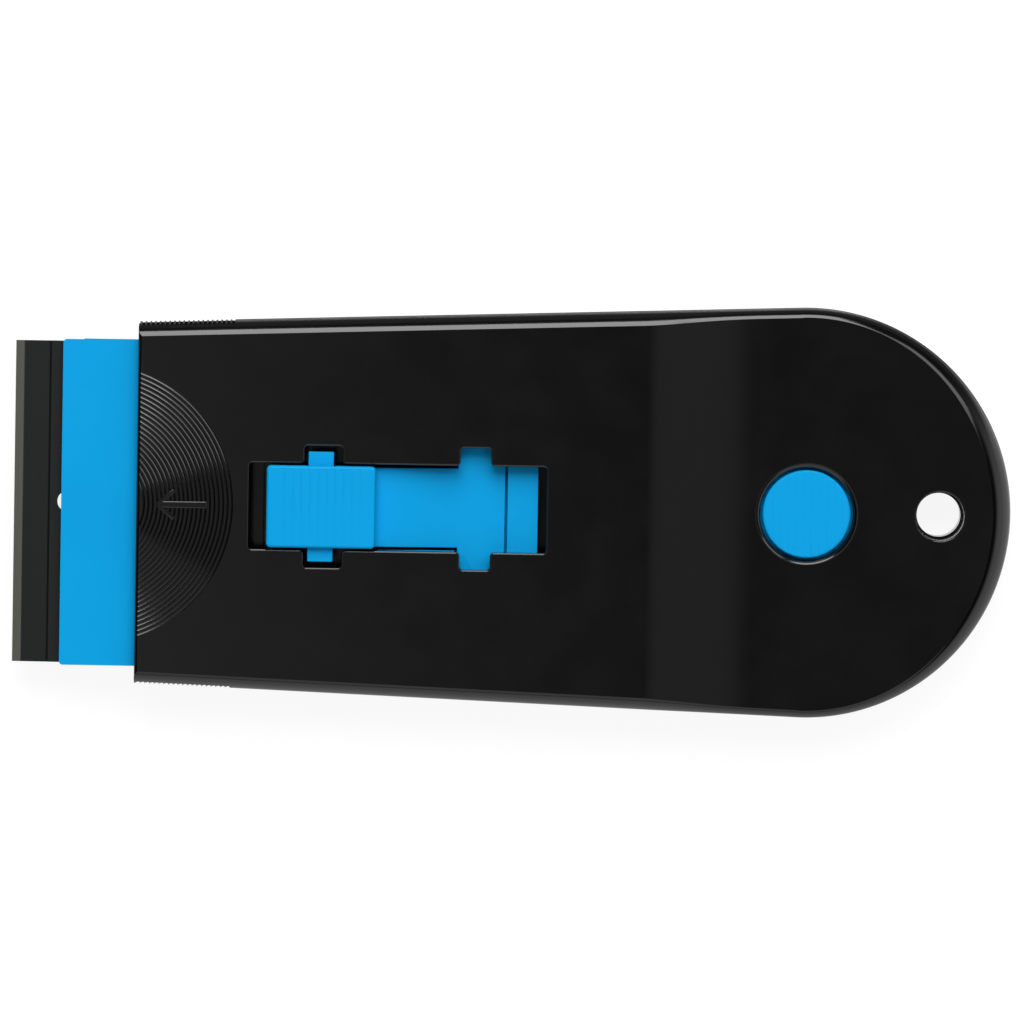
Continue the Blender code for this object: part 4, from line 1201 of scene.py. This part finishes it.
blackPlastic = {
    "colour": (0.002, 0.002, 0.0021),
    "roughness": (0.13, 0.155),
    "specular": 0.6,
    "blotch": 180,
    "blotchRange": (0.35, 0.65),
    "grain": 5200,
    "grainDepth": 0.003 * mm,
    "grainStrength": 0.35,
}


def makeBlackPlastic():
    b = blackPlastic
    material, shader, mapping = newMaterial("blackPlastic", b["colour"], b["roughness"][0])
    shader.inputs["Specular IOR Level"].default_value = b["specular"]
    vector = mapping.outputs["Vector"]
    blotches = noise(material, vector, b["blotch"], detail=3)
    rough = ranged(material, blotches, *b["blotchRange"], *b["roughness"])
    material.node_tree.links.new(rough, shader.inputs["Roughness"])
    grain(material, vector, b, shader)
    return material


bluePlastic = {
    "colour": (0.0, 0.35, 0.75),
    "dark": (0.0, 0.335, 0.73),
    "roughness": 0.5,
    "specular": 0.1,
    "blotch": 90,
    "blotchRange": (0.3, 0.6),
    "grain": 3600,
    "grainDepth": 0.006 * mm,
    "grainStrength": 0.3,
}


def makeBluePlastic():
    b = bluePlastic
    material, shader, mapping = newMaterial("bluePlastic", b["colour"], b["roughness"])
    shader.inputs["Specular IOR Level"].default_value = b["specular"]
    vector = mapping.outputs["Vector"]
    blotches = noise(material, vector, b["blotch"], detail=3)
    share = ranged(material, blotches, *b["blotchRange"], 0, 1)
    colour = mixed(material, share, b["dark"], b["colour"])
    material.node_tree.links.new(colour, shader.inputs["Base Color"])
    grain(material, vector, b, shader)
    return material


bladePlastic = {
    "colour": (0.009, 0.0098, 0.0095),
    # painted highlight: the strip along the front edge is coloured lighter for the light its thinned slope
    # catches
    "edgeHighlightColour": (0.085, 0.088, 0.074),
    "edgeHighlightReach": 1.05 * mm,
    "edgeHighlightFade": (0.1 * mm, 0.02 * mm),
    "roughness": 0.42,
    "specular": 0.25,
    "grain": 4000,
    "grainDepth": 0.008 * mm,
    "grainStrength": 0.4,
}


def makeBladePlastic():
    b = bladePlastic
    material, shader, mapping = newMaterial("bladePlastic", b["colour"], b["roughness"])
    shader.inputs["Specular IOR Level"].default_value = b["specular"]
    links = material.node_tree.links
    vector = mapping.outputs["Vector"]
    apart = material.node_tree.nodes.new("ShaderNodeSeparateXYZ")
    links.new(vector, apart.inputs["Vector"])
    # Painted highlight: the front edge strip is mixed lighter, standing in for light that the thinned edge
    # catches
    edge = bladeLow.x + b["edgeHighlightReach"]
    before, after = b["edgeHighlightFade"]
    share = ranged(material, apart.outputs["X"], edge - before, edge + after, 0, 1)
    colour = mixed(material, share, b["edgeHighlightColour"], b["colour"])
    links.new(colour, shader.inputs["Base Color"])
    grain(material, vector, b, shader)
    return material


springSteel = {
    "colour": (0.55, 0.56, 0.58),
    "roughness": 0.28,
    "grain": 2500,
    "grainDepth": 0.004 * mm,
    "grainStrength": 0.4,
}


def makeSpringSteel():
    s = springSteel
    material, shader, mapping = newMaterial("springSteel", s["colour"], s["roughness"])
    shader.inputs["Metallic"].default_value = 1
    grain(material, mapping.outputs["Vector"], s, shader)
    return material


def dress(material, *pieces):
    for piece in pieces:
        piece.data.materials.clear()
        piece.data.materials.append(material)


# Floor, light and camera
studio = {
    "floorSize": 6.0,
    "floorGap": 0.02 * mm,
    "floorRoughness": 0.9,
    "floorColour": (0.15, 0.15, 0.15),
    "floorGlow": 0.9,
    "overhead": 0.004,
    "horizon": 0.05,
    "brightHorizon": 0.9,
    "overheadFrom": 0.7,
    "horizonFrom": 0.3,
    # side it lies on, where it starts and is full, strength
    "leftPanel": ((-0.957, -0.291, 0.0), 0.003, 0.08, 0.46),
    "rightPanel": ((1.0, 0.0, 0.0), 0.005, 0.13, 0.25),
    "panelsDown": (0.85, 0.93),
    "brightSide": (0.5, -0.87, 0.0),
    "brightFrom": -0.2,
    "brightTo": 0.5,
    "floorSide": (0.3, -0.95, 0.0),
    "floorDarkFrom": -10 * mm,
    "floorBrightFrom": 8 * mm,
    "floorDark": 0.0,
    "cameraDistance": 1.23,
    "cameraReach": 10,
    "sensorWidth": 36,
    "frameWidth": 121.2 * mm,
    "aim": (-0.07 * mm, -0.31 * mm, 8.0 * mm),
    "tilt": math.radians(2.5),
    "roll": math.radians(0.925),
}
lamps = (
    # name, place, width, depth, power
    ("northBox", (-0.05, 0.8, 0.81), 0.7, 1.05, 13.6),
    ("northEastBox", (0.56, 0.47, 0.84), 0.45, 0.7, 2.3),
    ("southBox", (0.0, -0.75, 0.95), 1.3, 0.7, 2.1),
)


def sideShare(holder, vector, side, low, high):
    # 0 to 1 across the scene, by how far the vector points to the given side
    nodes, links = holder.node_tree.nodes, holder.node_tree.links
    along = nodes.new("ShaderNodeVectorMath")
    along.operation = "DOT_PRODUCT"
    along.inputs[1].default_value = side
    links.new(vector, along.inputs[0])
    share = nodes.new("ShaderNodeMapRange")
    share.interpolation_type = "SMOOTHSTEP"
    share.inputs["From Min"].default_value = low
    share.inputs["From Max"].default_value = high
    links.new(along.outputs["Value"], share.inputs["Value"])
    return share.outputs["Result"]


def arithmetic(holder, operation, first, second):
    node = holder.node_tree.nodes.new("ShaderNodeMath")
    node.operation = operation
    for place, value in enumerate((first, second)):
        if isinstance(value, float):
            node.inputs[place].default_value = value
        else:
            holder.node_tree.links.new(value, node.inputs[place])
    return node.outputs["Value"]


def summed(holder, first, second):
    return arithmetic(holder, "ADD", first, second)


def scaled(holder, first, second):
    return arithmetic(holder, "MULTIPLY", first, second)


def makeFloor():
    s = studio
    putDown()
    bpy.ops.mesh.primitive_plane_add(size=s["floorSize"], location=(0, 0, baseLow.z - s["floorGap"]))
    floor = settle("floor")
    material = bpy.data.materials.new("floorWhite")
    material.use_nodes = True
    nodes, links = material.node_tree.nodes, material.node_tree.links
    shader = nodes["Principled BSDF"]
    shader.inputs["Base Color"].default_value = (*s["floorColour"], 1)
    shader.inputs["Roughness"].default_value = s["floorRoughness"]
    shader.inputs["Specular IOR Level"].default_value = 0
    # The camera sees the floor white. In reflections it darkens towards the far side
    path = nodes.new("ShaderNodeLightPath")
    place = nodes.new("ShaderNodeTexCoord").outputs["Object"]
    share = sideShare(material, place, s["floorSide"], s["floorDarkFrom"], s["floorBrightFrom"])
    mirrored = ranged(material, share, 0, 1, s["floorDark"], 1)
    seen = summed(material, path.outputs["Is Glossy Ray"], path.outputs["Is Transmission Ray"])
    seen = scaled(material, seen, mirrored)
    glow = scaled(material, summed(material, path.outputs["Is Camera Ray"], seen), s["floorGlow"])
    shader.inputs["Emission Color"].default_value = (1, 1, 1, 1)
    links.new(glow, shader.inputs["Emission Strength"])
    floor.data.materials.append(material)


def makeWorld():
    # Dark overhead between two faint panels, and bright near the horizon on one side only
    s = studio
    world = bpy.data.worlds.new("studio")
    world.use_nodes = True
    nodes, links = world.node_tree.nodes, world.node_tree.links
    direction = nodes.new("ShaderNodeTexCoord").outputs["Generated"]
    side = sideShare(world, direction, s["brightSide"], s["brightFrom"], s["brightTo"])
    low = sideShare(world, direction, (0, 0, -1), -s["overheadFrom"], -s["horizonFrom"])
    extra = scaled(world, side, s["brightHorizon"] - s["horizon"])
    extra = scaled(world, low, summed(world, extra, s["horizon"] - s["overhead"]))
    for side, start, end, strength in (s["leftPanel"], s["rightPanel"]):
        panel = scaled(world, sideShare(world, direction, side, start, end), strength)
        panel = scaled(world, panel, sideShare(world, direction, (0, 0, 1), *s["panelsDown"]))
        extra = summed(world, extra, panel)
    links.new(summed(world, extra, s["overhead"]), nodes["Background"].inputs["Strength"])
    nodes["Background"].inputs["Color"].default_value = (1, 1, 1, 1)
    bpy.context.scene.world = world


def makeLights():
    for name, place, width, depth, power in lamps:
        lamp = bpy.data.lights.new(name, "AREA")
        lamp.shape = "RECTANGLE"
        lamp.size, lamp.size_y, lamp.energy = width, depth, power
        holder = bpy.data.objects.new(name, lamp)
        holder.location = place
        holder.rotation_euler = (-Vector(place)).to_track_quat("-Z", "Y").to_euler()
        bpy.context.collection.objects.link(holder)


def makeCamera():
    s = studio
    bpy.ops.object.camera_add(rotation=(-s["tilt"], 0, s["roll"]))
    camera = bpy.context.object
    camera.name = "camera"
    back = camera.rotation_euler.to_matrix() @ Vector((0, 0, s["cameraDistance"]))
    camera.location = Vector(s["aim"]) + back
    camera.data.sensor_width = s["sensorWidth"]
    camera.data.lens = s["sensorWidth"] * s["cameraDistance"] / s["frameWidth"]
    camera.data.clip_end = s["cameraReach"]
    bpy.context.scene.camera = camera
    bpy.context.scene.view_settings.view_transform = "Standard"


housingTop = makeHousingTop()
housingBase = makeHousingBase()
bladeHolder = makeBladeHolder()
clampCover = makeClampCover()
scraperStrip = makeScraperStrip()
springTongue = makeSpringTongue()
thumbPad = makeThumbPad()
pushButton = makePushButton()
coilSpring = makeCoilSpring()
dress(makeBlackPlastic(), housingTop, housingBase)
dress(makeBluePlastic(), bladeHolder, clampCover, springTongue, thumbPad, pushButton)
dress(makeBladePlastic(), scraperStrip)
dress(makeSpringSteel(), coilSpring)
makeFloor()
makeWorld()
makeLights()
makeCamera()
print("materials, light and camera made")
